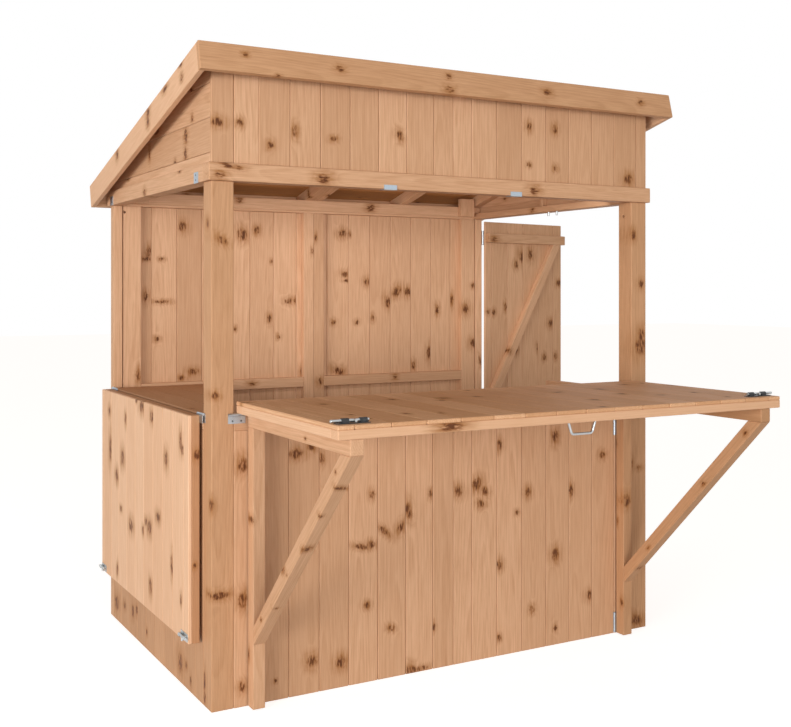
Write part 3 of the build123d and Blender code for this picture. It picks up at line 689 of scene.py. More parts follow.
@dataclass
class Joinery:
    """One piece of joinery: timbers laid in a local frame, which goes to its place at the end."""

    name: str
    wood: Material
    place: Matrix = field(default_factory=Matrix)
    knots_per_metre: float = KNOTS_PER_METRE
    bores: tuple[Bore, ...] = ()
    parts: list[bpy.types.Object] = field(default_factory=list)
    chance: random.Random = field(init=False)

    def __post_init__(self) -> None:
        """Seeds the piece's own dice from its name."""
        self.chance = random.Random(self.name)

    def timber(self, low: Point, high: Point, along: Axis,
               depth: Axis, arris: float = 2.5 * MM, steps: int = 2, cuts: tuple[Cut, ...] = (),
               tone: float | None = None) -> None:
        """Saws one timber and eases its arrises.

        Args:
            low: Its lowest corner in the piece's frame.
            high: Its highest corner.
            along: The way that its grain runs.
            depth: The way through its thinner side.
            arris: How far each arris is eased.
            steps: 1 for a flat chamfer, more for a rounded arris.
            cuts: Saw cuts that shape it before its arrises are eased.
            tone: How deep its stain took, from 0 to 1; by chance where it is None.
        """
        deselect()
        middle = [(a + b) / 2 for a, b in zip(low, high)]
        size = [b - a for a, b in zip(low, high)]
        bpy.ops.mesh.primitive_cube_add(size=1, location=middle)
        board = bpy.context.object
        board.scale = size
        bpy.ops.object.transform_apply(location=True, rotation=True, scale=True)
        for cut in cuts:
            bpy.ops.object.mode_set(mode="EDIT")
            bpy.ops.mesh.select_all(action="SELECT")
            bpy.ops.mesh.bisect(plane_co=cut.point, plane_no=cut.normal, use_fill=True, clear_outer=True)
            bpy.ops.object.mode_set(mode="OBJECT")
        ease = board.modifiers.new("Arris", "BEVEL")
        ease.width = arris
        ease.segments = steps
        ease.limit_method = "ANGLE"
        bpy.ops.object.modifier_apply(modifier=ease.name)
        for bore in self.bores:
            if bore.enters(low, high):
                bore.drill(board)
        self._write_log(board, middle, along, depth, tone)
        self._write_knots(board, low, high, along, depth)
        self.parts.append(board)

    def _write_log(self, board: bpy.types.Object, middle: list[float], along: Axis, depth: Axis,
                   stain: float | None) -> None:
        """Writes where each point of a timber was in the trunk, and how deep its stain took.

        Args:
            board: The timber.
            middle: Its middle.
            along: The way its grain runs.
            depth: The way through it.
            stain: How deep its stain took, or None for a chance depth.
        """
        across = Axis(3 - along.value - depth.value)
        start = self.chance.uniform(0.0, TRUNK_LENGTH)
        side = self.chance.uniform(-OFF_PITH, OFF_PITH)
        pith = self.chance.uniform(*PITH_DEPTHS) * self.chance.choice((-1, 1))
        lean = self.chance.uniform(-MOST_LEAN, MOST_LEAN)
        wind = self.chance.uniform(-MOST_WIND, MOST_WIND)
        logs, spots = [], []
        for vertex in board.data.vertices:
            run, wide, deep = (vertex.co[axis.value] - middle[axis.value] for axis in (along, across, depth))
            logs += [run + start, wide + side + wind * run, deep + pith + lean * run]
            spots += list(vertex.co)
        self._write(board, "log", logs)
        self._write(board, "spot", spots)
        tone = board.data.attributes.new("tone", "FLOAT", "POINT")
        drawn = self.chance.random()
        tone.data.foreach_set("value", [drawn if stain is None else stain] * len(board.data.vertices))

    def _write_knots(self, board: bpy.types.Object, low: Point,
                     high: Point, along: Axis, depth: Axis) -> None:
        """Gives a timber the knots that lie in it, or chance ones where none are set out.

        Args:
            board: The timber.
            low: Its lowest corner.
            high: Its highest corner.
            along: The way its grain runs.
            depth: The way through it.
        """
        own = [knot for knot in KNOTS.get(self.name, ()) if self._lies_in(knot, low, high)]
        if self.name not in KNOTS:
            own = self._chance_knots(low, high, along, depth)
        rows = []
        for knot in own[:MOST_KNOTS]:
            face = knot.face.value
            rows.append(knot.place(low[face] if knot.depth < high[face] - low[face] else (low[face] + high[face]) / 2))
        while len(rows) < MOST_KNOTS:
            rows.append(([FAR_AWAY] * 3, [1.0] * 3, [0.0] * 3))
        for number, row in enumerate(rows):
            for part, value in zip(KNOT_PARTS, row):
                self._write(board, f"knot_{part}_{number}", list(value) * len(board.data.vertices))

    def _lies_in(self, knot: Knot, low: Point, high: Point) -> bool:
        """Whether a knot's middle lies in a timber's outline."""
        wide, tall = (axis for axis in range(3) if axis != knot.face.value)
        return all(low[axis] <= value < high[axis] for axis, value in zip((wide, tall), knot.middle))

    def _chance_knots(self, low: Point, high: Point, along: Axis,
                      depth: Axis) -> list[Knot]:
        """Knots that fall by chance.

        Args:
            low: The timber's lowest corner.
            high: Its highest corner.
            along: The way its grain runs.
            depth: The way through it.

        Returns:
            The knots.
        """
        length = high[along.value] - low[along.value]
        made = []
        for _ in range(round(length * self.knots_per_metre * self.chance.uniform(*KNOT_CHANCES))):
            wide, tall = (axis for axis in range(3) if axis != depth.value)
            middle = tuple(self.chance.uniform(low[axis], high[axis]) for axis in (wide, tall))
            half = tuple(self.chance.uniform(*KNOT_HALVES) * MM * (KNOT_STRETCH if axis == along.value else 1.0)
                         for axis in (wide, tall))
            made.append(Knot(depth, middle, half, math.radians(self.chance.uniform(-MOST_TILT, MOST_TILT))))
        return made

    def _write(self, board: bpy.types.Object, name: str, values: list[float]) -> None:
        """Writes a vector attribute over a timber's points."""
        board.data.attributes.new(name, "FLOAT_VECTOR", "POINT").data.foreach_set("vector", values)

    def finish(self, body: str, *nodes: str, slot: str = "framing") -> bpy.types.Object:
        """Joins the timbers, stains them, lays them in place and gives them to a body.

        Args:
            body: The CAD body that the piece rides on.
            nodes: The CAD nodes that it stands for.
            slot: The record's material slot; not used.

        Returns:
            The finished piece.
        """
        piece = join(self.parts, self.name)
        piece.data.transform(self.place)
        piece.data.update()
        piece.data.materials.clear()
        piece.data.materials.append(self.wood)
        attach(piece, body)
        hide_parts(*nodes)
        LOG.info("%s: %d timbers", self.name, len(self.parts))
        return piece


@dataclass(frozen=True)
class Matchboard:
    """Tongue and groove boards: their cover, joint gap, V-joint and tongue."""

    cover: float = 110 * MM
    gap: float = 1.3 * MM
    vee: float = 2.0 * MM
    tongue: float = 3.0 * MM

    def lay(self, piece: Joinery, low: Point, high: Point,
            along: Axis, depth: Axis, first: float, cuts: tuple[Cut, ...] = ()) -> None:
        """Lays boards side by side over a stretch of wall, with their hidden tongues.

        Args:
            piece: The joinery that the boards join.
            low: The stretch's lowest corner.
            high: Its highest corner.
            along: The way that the boards run.
            depth: The way through them.
            first: The width of the first board, which is cut to fit.
            cuts: Saw cuts across all of the boards.
        """
        across = 3 - along.value - depth.value
        edges = [low[across], low[across] + first]
        while edges[-1] < high[across] - self.gap:
            edges.append(min(edges[-1] + self.cover, high[across]))
        edges[-1] = high[across]
        for (start, end) in zip(edges, edges[1:]):
            corner_low, corner_high = list(low), list(high)
            corner_low[across] = start + (self.gap / 2 if start > low[across] else 0)
            corner_high[across] = end - (self.gap / 2 if end < high[across] else 0)
            piece.timber(tuple(corner_low), tuple(corner_high), along, depth, self.vee, 1, cuts)
        inner_low, inner_high = list(low), list(high)
        middle = (low[depth.value] + high[depth.value]) / 2
        inner_low[depth.value], inner_high[depth.value] = middle - self.tongue / 2, middle + self.tongue / 2
        for axis in (across, along.value):
            inner_low[axis] += self.vee
            inner_high[axis] -= self.vee
        piece.timber(tuple(inner_low), tuple(inner_high), along, depth, self.vee / 4, 1, cuts)


    def panel(self, name: str, wood: Material, body: str, node: str, along: Axis, depth: Axis, first: float,
              knots_per_metre: float = KNOTS_PER_METRE) -> None:
        """Makes a node that is one stretch of boards.

        Args:
            name: The piece's name.
            wood: Its wood.
            body: The CAD body that it rides on.
            node: The CAD node that it stands for.
            along: The way that the boards run.
            depth: The way through them.
            first: The width of the first board.
            knots_per_metre: How many knots fall by chance.
        """
        low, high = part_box(node)
        piece = Joinery(name, wood, knots_per_metre=knots_per_metre)
        self.lay(piece, tuple(low), tuple(high), along, depth, first)
        piece.finish(body, node, slot="matchboard")


def plain(node: str, wood: Material, body: str, along: Axis, depth: Axis) -> None:
    """Makes a node that is one plain timber.

    Args:
        node: The CAD node.
        wood: Its wood.
        body: The CAD body that it rides on.
        along: The way that its grain runs.
        depth: The way through it.
    """
    low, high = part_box(node)
    piece = Joinery(node + "_timber", wood)
    piece.timber(tuple(low), tuple(high), along, depth)
    piece.finish(body, node)


def ladder(piece: Joinery, low: Point, high: Point, face: Axis,
           posts: list[tuple[float, float]], rails: list[tuple[float, float]], upright: Axis) -> None:
    """Frames a stretch of wall: through posts with rails butted between them.

    Args:
        piece: The joinery that the timbers join.
        low: The frame's lowest corner.
        high: Its highest corner.
        face: The way through the frame.
        posts: Start and end of each post across the frame.
        rails: Start and end of each rail along the posts.
        upright: The way that the posts run.
    """
    across = 3 - face.value - upright.value
    for (start, end) in posts:
        corner_low, corner_high = list(low), list(high)
        corner_low[across], corner_high[across] = start, end
        piece.timber(tuple(corner_low), tuple(corner_high), upright, face)
    for ((_, left), (right, _)) in zip(posts, posts[1:]):
        if right - left < 1 * MM:
            continue
        for (start, end) in rails:
            corner_low, corner_high = list(low), list(high)
            corner_low[across], corner_high[across] = left, right
            corner_low[upright.value], corner_high[upright.value] = start, end
            piece.timber(tuple(corner_low), tuple(corner_high), Axis(across), face)


def framed(name: str, wood: Material, body: str, node: str, stud: float, studs: int) -> None:
    """Makes a side's framework: studs at its ends and middle, with a rail at its foot and its head.

    Args:
        name: The piece's name.
        wood: Its wood.
        body: The CAD body that it rides on.
        node: The CAD node that it stands for.
        stud: How wide its studs and rails are.
        studs: 2 for studs at the ends, 3 for one in the middle too.
    """
    low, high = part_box(node)
    middle = (low.y + high.y) / 2
    posts = [(low.y, low.y + stud), (middle - stud / 2, middle + stud / 2), (high.y - stud, high.y)]
    piece = Joinery(name, wood)
    ladder(piece, tuple(low), tuple(high), Axis.X, posts if studs > 2 else [posts[0], posts[-1]],
           [(low.z, low.z + stud), (high.z - stud, high.z)], Axis.Z)
    piece.finish(body, node)


@dataclass
class Shell:
    """The standing walls: posts, ring beam, boarded panels, their frames and the shelf."""

    wood: Material
    post_wood: Material
    shelf_wood: Material
    boards: Matchboard
    stud: float = 45 * MM
    centre_stud: float = 50 * MM
    rear_stud: float = 76 * MM
    post: float = 75 * MM
    rear_post: float = 36 * MM
    arris: float = 3 * MM
    slip_arris: float = 0.5 * MM
    beam: float = 58 * MM
    beam_web: float = 24 * MM
    block: float = 76 * MM
    skim: float = 0.3 * MM
    front_keep: tuple[float, float] = (0.020, 1.620)
    side_keep: tuple[float, float] = (-0.854, 1.648)
    mid_rail: tuple[float, float] = (0.899, 0.943)
    first_left: float = 80 * MM
    first_right: float = 77 * MM
    first_back: float = 20 * MM
    shelf_front: float = 95 * MM
    joint: float = 0.5 * MM
    body: str = "bar"

    def build(self) -> None:
        """Builds every fixed wall."""
        self.posts()
        self.ring_beam()
        self.front_wall()
        # The left wall, behind the hanging hatch, takes the darker tan wood: painted shade of the hatch.
        self.side_wall("left", self.post_wood, 3)
        self.side_wall("right", self.wood, 2)
        self.back_wall()
        self.corner_shelf()

    def posts(self) -> None:
        """Front and rear posts."""
        for node in ("front_posts", "rear_posts"):
            low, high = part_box(node)
            front = node == "front_posts"
            width = self.post if front else self.rear_post
            # The front posts take the darker tan wood, the right one at its lightest tone, so that the left post beside
            # the hanging hatch is darker: painted shade.
            piece = Joinery(node.replace("posts", "post_timbers"), self.post_wood if front else self.wood)
            if front:
                mouths = [((side * (high.x - width), *self.front_keep), (side, 0, 0)) for side in (-1, 1)]
                mouths.append(((self.side_keep[0], high.y, self.side_keep[1]), (0, -1, 0)))
                piece.bores = tuple(Bore(mouth, inward) for mouth, inward in mouths)
            skim = self.skim if front else 0.0
            for (start, end, tone) in ((low.x + skim, low.x + width, None), (high.x - width, high.x - skim, 0.0)):
                piece.timber((start, low.y + skim, low.z), (end, high.y, high.z), Axis.Z, Axis.Y, self.arris,
                             tone=tone)
            piece.finish(self.body, node)

    def ring_beam(self) -> None:
        """Front, side and rear beams, planed to the pitch at the back."""
        planed = (roof_cut(),)
        for node in ("front_beam", "rear_beam"):
            low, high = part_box(node)
            piece = Joinery(node + "_timber", self.wood)
            top = high.z if node == "front_beam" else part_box("side_beams")[1].z
            piece.timber(tuple(low), (high.x, high.y, top), Axis.X, Axis.Y, self.arris,
                         cuts=planed if node == "rear_beam" else ())
            piece.finish(self.body, node)
        self._side_beams(planed)
        low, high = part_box("corner_blocks")
        piece = Joinery("corner_block_timbers", self.wood)
        for start in (low.x, high.x - self.block):
            piece.timber((start, low.y, low.z), (start + self.block, high.y, high.z), Axis.Z, Axis.Y)
        piece.finish(self.body, "corner_blocks")

    def _side_beams(self, planed: tuple[Cut, ...]) -> None:
        """Side beams, rebated inside over a bearer that carries the gable studs.

        Args:
            planed: The cut along the rafters' underside.
        """
        low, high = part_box("side_beams")
        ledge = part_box("gable_studs")[0].z
        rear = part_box("rear_beam")[0].y
        piece = Joinery("side_beam_timbers", self.wood)
        for side in (-1, 1):
            for (inner, outer, bottom, top, front) in ((high.x - self.beam_web, high.x, low.z, high.z, low.y),
                                                       (high.x - self.beam, high.x - self.beam_web, low.z, ledge,
                                                        low.y),
                                                       (high.x - self.beam, high.x - self.beam_web, ledge, high.z,
                                                        rear)):
                start, end = sorted((side * inner, side * outer))
                piece.timber((start, front, bottom), (end, high.y, top), Axis.Y, Axis.X, cuts=planed)
        piece.finish(self.body, "side_beams")

    def front_wall(self) -> None:
        """The boarded wall under the counter, its frame inside and its rail."""
        low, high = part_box("front_wall_boards")
        piece = Joinery("front_wall_matchboard", self.wood)
        for (start, end, first) in ((low.x, -self.joint, self.first_left), (self.joint, high.x, self.first_right)):
            self.boards.lay(piece, (start, low.y, low.z), (end, high.y, high.z), Axis.Z, Axis.Y, first)
        piece.finish(self.body, "front_wall_boards", slot="matchboard")
        low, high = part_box("front_wall_frame")
        frame = Joinery("front_wall_studs", self.wood)
        ladder(frame, tuple(low), tuple(high), Axis.Y,
               [(low.x, low.x + self.stud), (-self.centre_stud, -self.joint), (self.joint, self.centre_stud),
                (high.x - self.stud, high.x)],
               [(low.z, low.z + self.stud), (high.z - self.stud, high.z)], Axis.Z)
        frame.finish(self.body, "front_wall_frame")
        plain("front_wall_rail", self.wood, self.body, Axis.X, Axis.Y)

    def side_wall(self, side: str, wood: Material, studs: int) -> None:
        """A low side wall: the one behind the hanging hatch, or the short one in front of the doorway.

        Args:
            side: Which side it is on.
            wood: The boards' wood.
            studs: How many studs its frame has.
        """
        self.boards.panel(f"{side}_wall_matchboard", wood, self.body, f"{side}_wall_boards", Axis.Z, Axis.X,
                          self.first_left)
        framed(f"{side}_wall_studs", self.wood, self.body, f"{side}_wall_frame", self.stud, studs)
        plain(f"{side}_wall_rail", self.wood, self.body, Axis.Y, Axis.X)

    def back_wall(self) -> None:
        """The tall back wall, whose studs and middle rail show inside."""
        low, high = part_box("back_wall_boards")
        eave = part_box("side_beams")[0].z
        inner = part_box("rear_beam")[1].x
        piece = Joinery("back_wall_matchboard", self.wood)
        for (start, end, first) in ((low.x, -self.joint, self.first_back), (self.joint, high.x, self.first_right)):
            self.boards.lay(piece, (start, low.y, low.z), (end, high.y, eave), Axis.Z, Axis.Y, first)
        piece.timber((-inner, low.y, eave), (inner, high.y, high.z), Axis.X, Axis.Y, self.slip_arris, 1)
        piece.finish(self.body, "back_wall_boards", slot="matchboard")
        low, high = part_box("back_wall_frame")
        frame = Joinery("back_wall_studs", self.wood)
        frame.bores = (Bore((self.side_keep[0], low.y, self.side_keep[1]), (0, 1, 0), 2 * (high.y - low.y)),)
        for side in (-1, 1):
            ends = sorted((side * self.joint, side * high.x))
            posts = [(self.joint, self.centre_stud), (high.x - self.rear_stud, high.x)]
            posts = [tuple(sorted((side * a, side * b))) for (a, b) in posts]
            ladder(frame, (ends[0], low.y, low.z), (ends[1], high.y, eave), Axis.Y, sorted(posts),
                   [(low.z, low.z + self.stud), self.mid_rail], Axis.Z)
        frame.timber((-inner, low.y, eave), (inner, high.y, high.z), Axis.X, Axis.Y, self.slip_arris, 1)
        frame.finish(self.body, "back_wall_frame")

    def corner_shelf(self) -> None:
        """The shelf in the rear left corner, its free edge sawn on the skew."""
        low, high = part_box("corner_shelf")
        edge = Vector((high.x - low.x - self.shelf_front, high.y - low.y, 0)).normalized()
        cut = Cut((low.x + self.shelf_front, low.y, low.z), (edge.y, -edge.x, 0))
        piece = Joinery("corner_shelf_boards", self.shelf_wood)
        self.boards.lay(piece, tuple(low), tuple(high), Axis.Y, Axis.Z, self.boards.cover, (cut,))
        piece.finish(self.body, "corner_shelf", slot="matchboard")


PITCH = math.radians(14)
FASCIA = 20 * MM
RAFTER_LIFT = 33 * MM
RAFTER_DEPTH = 45 * MM


def roof_origin() -> Vector:
    """The foot of the front fascia, where the roof's own frame starts."""
    low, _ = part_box("front_fascia")
    return Vector((0, low.y, low.z + FASCIA * math.sin(PITCH)))


def roof_place() -> Matrix:
    """The roof's frame: X down the slope, Y square out of it and Z along the front."""
    down = Vector((0, math.cos(PITCH), -math.sin(PITCH)))
    out = Vector((0, math.sin(PITCH), math.cos(PITCH)))
    place = Matrix((down, out, Vector((1, 0, 0)))).transposed().to_4x4()
    place.translation = roof_origin()
    return place


def roof_cut(lift: float = RAFTER_LIFT) -> Cut:
    """The saw cut along the roof's slope, lift above the fascia's foot."""
    out = Vector((0, math.sin(PITCH), math.cos(PITCH)))
    return Cut(tuple(roof_origin() + out * lift), tuple(out))


@dataclass
class Roof:
    """Front panel and gables over the beams, and the pent roof on its rafters."""

    wood: Material
    painted_light_wood: Material
    fascia_wood: Material
    soffit_shade_wood: Material
    boards: Matchboard
    felt: MineralFelt
    stud: float = 45 * MM
    rafter: float = 42 * MM
    bay: float = 464 * MM
    board: float = 12 * MM
    first_gable: float = 33 * MM
    first_panels: tuple[float, ...] = (75 * MM, 85 * MM, 77 * MM)
    centre_stud: float = 50 * MM
    gable_stud: float = 28 * MM
    spare: float = 20 * MM
    gable_foot: tuple[float, float] = (60 * MM, 40 * MM)
    foot_arris: float = 0.4 * MM
    strips: int = 3
    lap: float = 75 * MM
    sheet: float = 1.0 * MM
    felt_body: float = 0.7 * MM
    ripple: float = 0.25 * MM
    joint: float = 0.5 * MM
    body: str = "bar"

    def build(self) -> None:
        """Builds the roof from the beams up."""
        self.front_panel()
        self.gables()
        self.rafters()
        self.deck()
        self.fascias()

    def front_panel(self) -> None:
        """Boards over the serving opening, cut to the roof boards, with their frame inside."""
        low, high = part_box("front_panel_boards")
        deck = roof_cut(RAFTER_LIFT + RAFTER_DEPTH)
        piece = Joinery("front_panel_matchboard", self.wood)
        second = low.x + sum(self.first_panels[:2])
        for (start, end, first) in ((low.x, second, self.first_panels[0]), (second, -self.joint, self.boards.cover),
                                    (self.joint, high.x, self.first_panels[2])):
            self.boards.lay(piece, (start, low.y, low.z), (end, high.y, high.z), Axis.Z, Axis.Y, first, (deck,))
        piece.finish(self.body, "front_panel_boards", slot="matchboard")
        low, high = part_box("front_panel_frame")
        top = high.z
        frame = Joinery("front_panel_studs", self.wood)
        frame.timber((low.x, low.y, low.z), (high.x, high.y, low.z + self.stud), Axis.X, Axis.Y)
        frame.timber((low.x, low.y, top - 2 * self.stud), (high.x, high.y, top + self.spare), Axis.X, Axis.Y,
                     cuts=(roof_cut(),))
        for (start, end) in ((low.x, low.x + self.stud), (-self.centre_stud, -self.joint),
                             (self.joint, self.centre_stud), (high.x - self.stud, high.x)):
            frame.timber((start, low.y, low.z + self.stud), (end, high.y, top - 2 * self.stud), Axis.Z, Axis.Y)
        frame.finish(self.body, "front_panel_frame")

    def gables(self) -> None:
        """Horizontal boards over the side beams, cut to the slope, and one stud inside each."""
        low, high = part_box("gable_boards")
        beam_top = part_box("side_beams")[1].z
        cuts = (roof_cut(RAFTER_LIFT + RAFTER_DEPTH),)
        foot = roof_cut()
        piece = Joinery("gable_matchboard", self.wood)
        for start in (low.x, high.x - self.board):
            self.boards.lay(piece, (start, low.y, beam_top), (start + self.board, high.y, high.z + 1.5 * self.spare),
                            Axis.Y, Axis.X, self.first_gable, cuts)
            self._gable_foot(piece, start, high.y, beam_top, foot, cuts[0])
        piece.finish(self.body, "gable_boards", slot="matchboard")
        low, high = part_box("gable_studs")
        studs = Joinery("gable_stud_timbers", self.wood)
        for start in (low.x, high.x - self.gable_stud):
            studs.timber((start, low.y, low.z), (start + self.gable_stud, high.y, high.z + self.spare), Axis.Z,
                         Axis.X, cuts=(roof_cut(),))
        studs.finish(self.body, "gable_studs")

    def _gable_foot(self, piece: Joinery, start: float, back: float, beam_top: float, foot: Cut, deck: Cut) -> None:
        """The sliver of gable behind the beam's planed end.

        Args:
            piece: The gable joinery.
            start: Where the boards start in X.
            back: The back wall's outer face.
            beam_top: The beam's top.
            foot: The cut along the rafters' underside.
            deck: The cut along the roof boards' underside.
        """
        under = Cut(foot.point, tuple(-n for n in foot.normal))
        run, drop = self.gable_foot
        piece.timber((start, back - run, beam_top - drop), (start + self.board, back, beam_top),
                     Axis.Y, Axis.X, self.foot_arris, 1, (under, deck))

    def rafters(self) -> None:
        """Rafters down the slope: a pair in the middle, one in each bay and one at each gable."""
        low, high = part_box("rafters")
        length = (high.y - low.y - RAFTER_DEPTH * math.sin(PITCH)) / math.cos(PITCH)
        piece = Joinery("rafter_timbers", self.wood, roof_place())
        inner = (self.joint, self.bay - self.rafter / 2, high.x - self.rafter)
        for start in [*inner, *(-x - self.rafter for x in inner)]:
            piece.timber((FASCIA, RAFTER_LIFT, start), (FASCIA + length, RAFTER_LIFT + RAFTER_DEPTH,
                                                        start + self.rafter), Axis.X, Axis.Y)
        piece.finish(self.body, "rafters")

    def deck(self) -> None:
        """Roof boards along the front, and the felt over them in three lapped strips."""
        low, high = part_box("roof_boards")
        length = (high.y - low.y - self.board * math.sin(PITCH)) / math.cos(PITCH)
        lift = RAFTER_LIFT + RAFTER_DEPTH
        # The roof boards take the deep brown wood: painted shade on their underside under the eaves.
        piece = Joinery("roof_matchboard", self.soffit_shade_wood, roof_place())
        self.boards.lay(piece, (FASCIA, lift, low.x), (FASCIA + length, lift + self.board, high.x), Axis.Z,
                        Axis.Y, self.boards.cover)
        piece.finish(self.body, "roof_boards", slot="matchboard")
        self._felt(low.x, high.x, length, lift + self.board)

    def _felt(self, left: float, right: float, length: float, lift: float) -> None:
        """Three strips of felt, each lapping the one below it.

        Args:
            left: The felt's left edge.
            right: Its right edge.
            length: How far it runs down the slope.
            lift: The roof boards' top in the roof's frame.
        """
        wide = (length + self.lap * (self.strips - 1)) / self.strips
        parts = []
        for number in range(self.strips):
            start = FASCIA + length - wide - number * (wide - self.lap)
            deselect()
            bpy.ops.mesh.primitive_grid_add(x_subdivisions=12, y_subdivisions=24, size=1)
            strip = bpy.context.object
            strip.data.transform(Matrix.Diagonal((wide, right - left, 1, 1)))
            chance = random.Random(number)
            for vertex in strip.data.vertices:
                lapping = number and vertex.co.x > wide / 2 - self.lap
                vertex.co.z += chance.uniform(0, self.ripple) + self.sheet * (1.0 if lapping else 0.15)
            turn = Matrix(((1, 0, 0, 0), (0, 0, 1, 0), (0, 1, 0, 0), (0, 0, 0, 1)))
            strip.data.transform(Matrix.Translation((start + wide / 2, lift, (left + right) / 2)) @ turn)
            strip.data.transform(roof_place())
            parts.append(strip)
        piece = join(parts, "roofing_felt")
        bpy.ops.object.mode_set(mode="EDIT")
        bpy.ops.mesh.select_all(action="SELECT")
        bpy.ops.mesh.normals_make_consistent(inside=False)
        bpy.ops.object.mode_set(mode="OBJECT")
        thick = piece.modifiers.new("Thickness", "SOLIDIFY")
        thick.thickness = self.felt_body
        thick.offset = 0
        bpy.ops.object.modifier_apply(modifier=thick.name)
        piece.data.materials.append(self.felt.material())
        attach(piece, self.body)
        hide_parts("roof_felt")
        LOG.info("roofing_felt: %d strips", self.strips)

    def fascias(self) -> None:
        """The four boards round the roof's edge."""
        low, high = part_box("front_fascia")
        rear_low, rear_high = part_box("rear_fascia")
        depth = (high.z - low.z - FASCIA * math.sin(PITCH)) / math.cos(PITCH)
        length = (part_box("barge_boards")[1].y - low.y - depth * math.sin(PITCH)) / math.cos(PITCH)
        front = Joinery("front_fascia_board", self.fascia_wood, roof_place())
        front.timber((0, 0, low.x), (FASCIA, depth, high.x), Axis.Z, Axis.X)
        front.finish(self.body, "front_fascia")
        rear = Joinery("rear_fascia_board", self.wood, roof_place())
        rear.timber((length - FASCIA, 0, rear_low.x), (length, depth, rear_high.x), Axis.Z, Axis.X)
        rear.finish(self.body, "rear_fascia")
        # The barge boards take the lightest wood: painted light on their left faces, which the key lamp lights.
        barges = Joinery("barge_board_timbers", self.painted_light_wood, roof_place())
        for start in (low.x, high.x - FASCIA):
            barges.timber((FASCIA, 0, start), (length, depth, start + FASCIA), Axis.X, Axis.Z)
        barges.finish(self.body, "barge_boards")


@dataclass
class Hatches:
    """The counter at the front and the hatch that hangs on the left."""

    counter_wood: Material
    painted_light_wood: Material
    shelf_wood: Material
    boards: Matchboard
    rail: float = 45 * MM
    first_board: float = 50 * MM
    counter_knots: float = 2.2

    def build(self) -> None:
        """Builds both hatches."""
        self.boards.panel("counter_matchboard", self.counter_wood, "front_hatch", "front_hatch_boards", Axis.Y,
                          Axis.Z, self.first_board, self.counter_knots)
        low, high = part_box("front_hatch_frame")
        third = high.x / 3
        # The counter frame takes the lightest wood: painted light on its left end, which the key lamp lights.
        frame = Joinery("counter_frame", self.painted_light_wood)
        rails = [(low.y, low.y + self.rail), (high.y - self.rail, high.y)]
        for (start, end) in rails:
            frame.timber((low.x, start, low.z), (high.x, end, high.z), Axis.X, Axis.Z, tone=1.0)
        for start in (low.x, -third - self.rail, third, high.x - self.rail):
            frame.timber((start, rails[0][1], low.z), (start + self.rail, rails[1][0], high.z), Axis.Y, Axis.Z)
        frame.finish("front_hatch", "front_hatch_frame")
        # The hanging hatch's boards take the lightest wood: painted light on their face, which is lit from the left.
        self.boards.panel("left_hatch_matchboard", self.painted_light_wood, "left_hatch", "left_hatch_boards", Axis.Z,
                          Axis.X, self.first_board)
        # The hatch's rails take the darker wood: painted shade on their front edges.
        framed("left_hatch_rails", self.shelf_wood, "left_hatch", "left_hatch_frame", self.rail, 3)


@dataclass
class Brackets:
    """The two swing brackets that hold the counter up."""

    woods: dict[str, Material]
    width: float = 42 * MM
    spare: tuple[float, float] = (50 * MM, 60 * MM)

    def build(self) -> None:
        """Builds the leg, arm and diagonal brace of each bracket."""
        for side in ("left", "right"):
            body = f"{side}_bracket"
            plain(f"{body}_leg", self.woods[body], body, Axis.Z, Axis.Y)
            plain(f"{body}_arm", self.woods[body], body, Axis.Y, Axis.X)
            self._brace(body)

    def _brace(self, body: str) -> None:
        """The diagonal, mitred against the leg and the arm.

        Args:
            body: The bracket's body.
        """
        low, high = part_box(f"{body}_brace")
        run, rise = high.y - low.y, high.z - low.z
        angle = math.atan2(rise, run)
        turn = Matrix.Rotation(-angle, 4, "X")
        start = Vector((low.x, high.y, low.z))
        place = Matrix.Translation(start) @ turn
        inverse = place.inverted()
        spin = inverse.to_3x3()
        length = run / math.cos(angle)
        at_leg = Cut(tuple(inverse @ start), tuple(spin @ Vector((0, 1, 0))))
        at_arm = Cut(tuple(inverse @ Vector((0, 0, high.z))), tuple(spin @ Vector((0, 0, 1))))
        brace = Joinery(f"{body}_brace_timber", self.woods[body], place)
        brace.timber((0, -length - self.spare[0], 0), (high.x - low.x, self.spare[1], self.width), Axis.Y, Axis.X,
                     cuts=(at_leg, at_arm))
        brace.finish(body, f"{body}_brace")


DOOR_TURN = math.radians(10)


def pin_of(hinge: str) -> Vector:
    """Finds a point on a hinge's pin in the record."""
    return Vector(next(joint for joint in FRAME["joints"] if joint["name"] == hinge)["pos_m"])


def door_place() -> Matrix:
    """Finds the standing door's frame: X from the pin to the free edge, Y to the inner side and Z up."""
    pin = pin_of("door_hinge")
    free = Vector((math.cos(DOOR_TURN), math.sin(DOOR_TURN), 0))
    inner = Vector((math.sin(DOOR_TURN), -math.cos(DOOR_TURN), 0))
    place = Matrix((free, inner, Vector((0, 0, 1)))).transposed().to_4x4()
    place.translation = (pin.x, pin.y, 0)
    return place


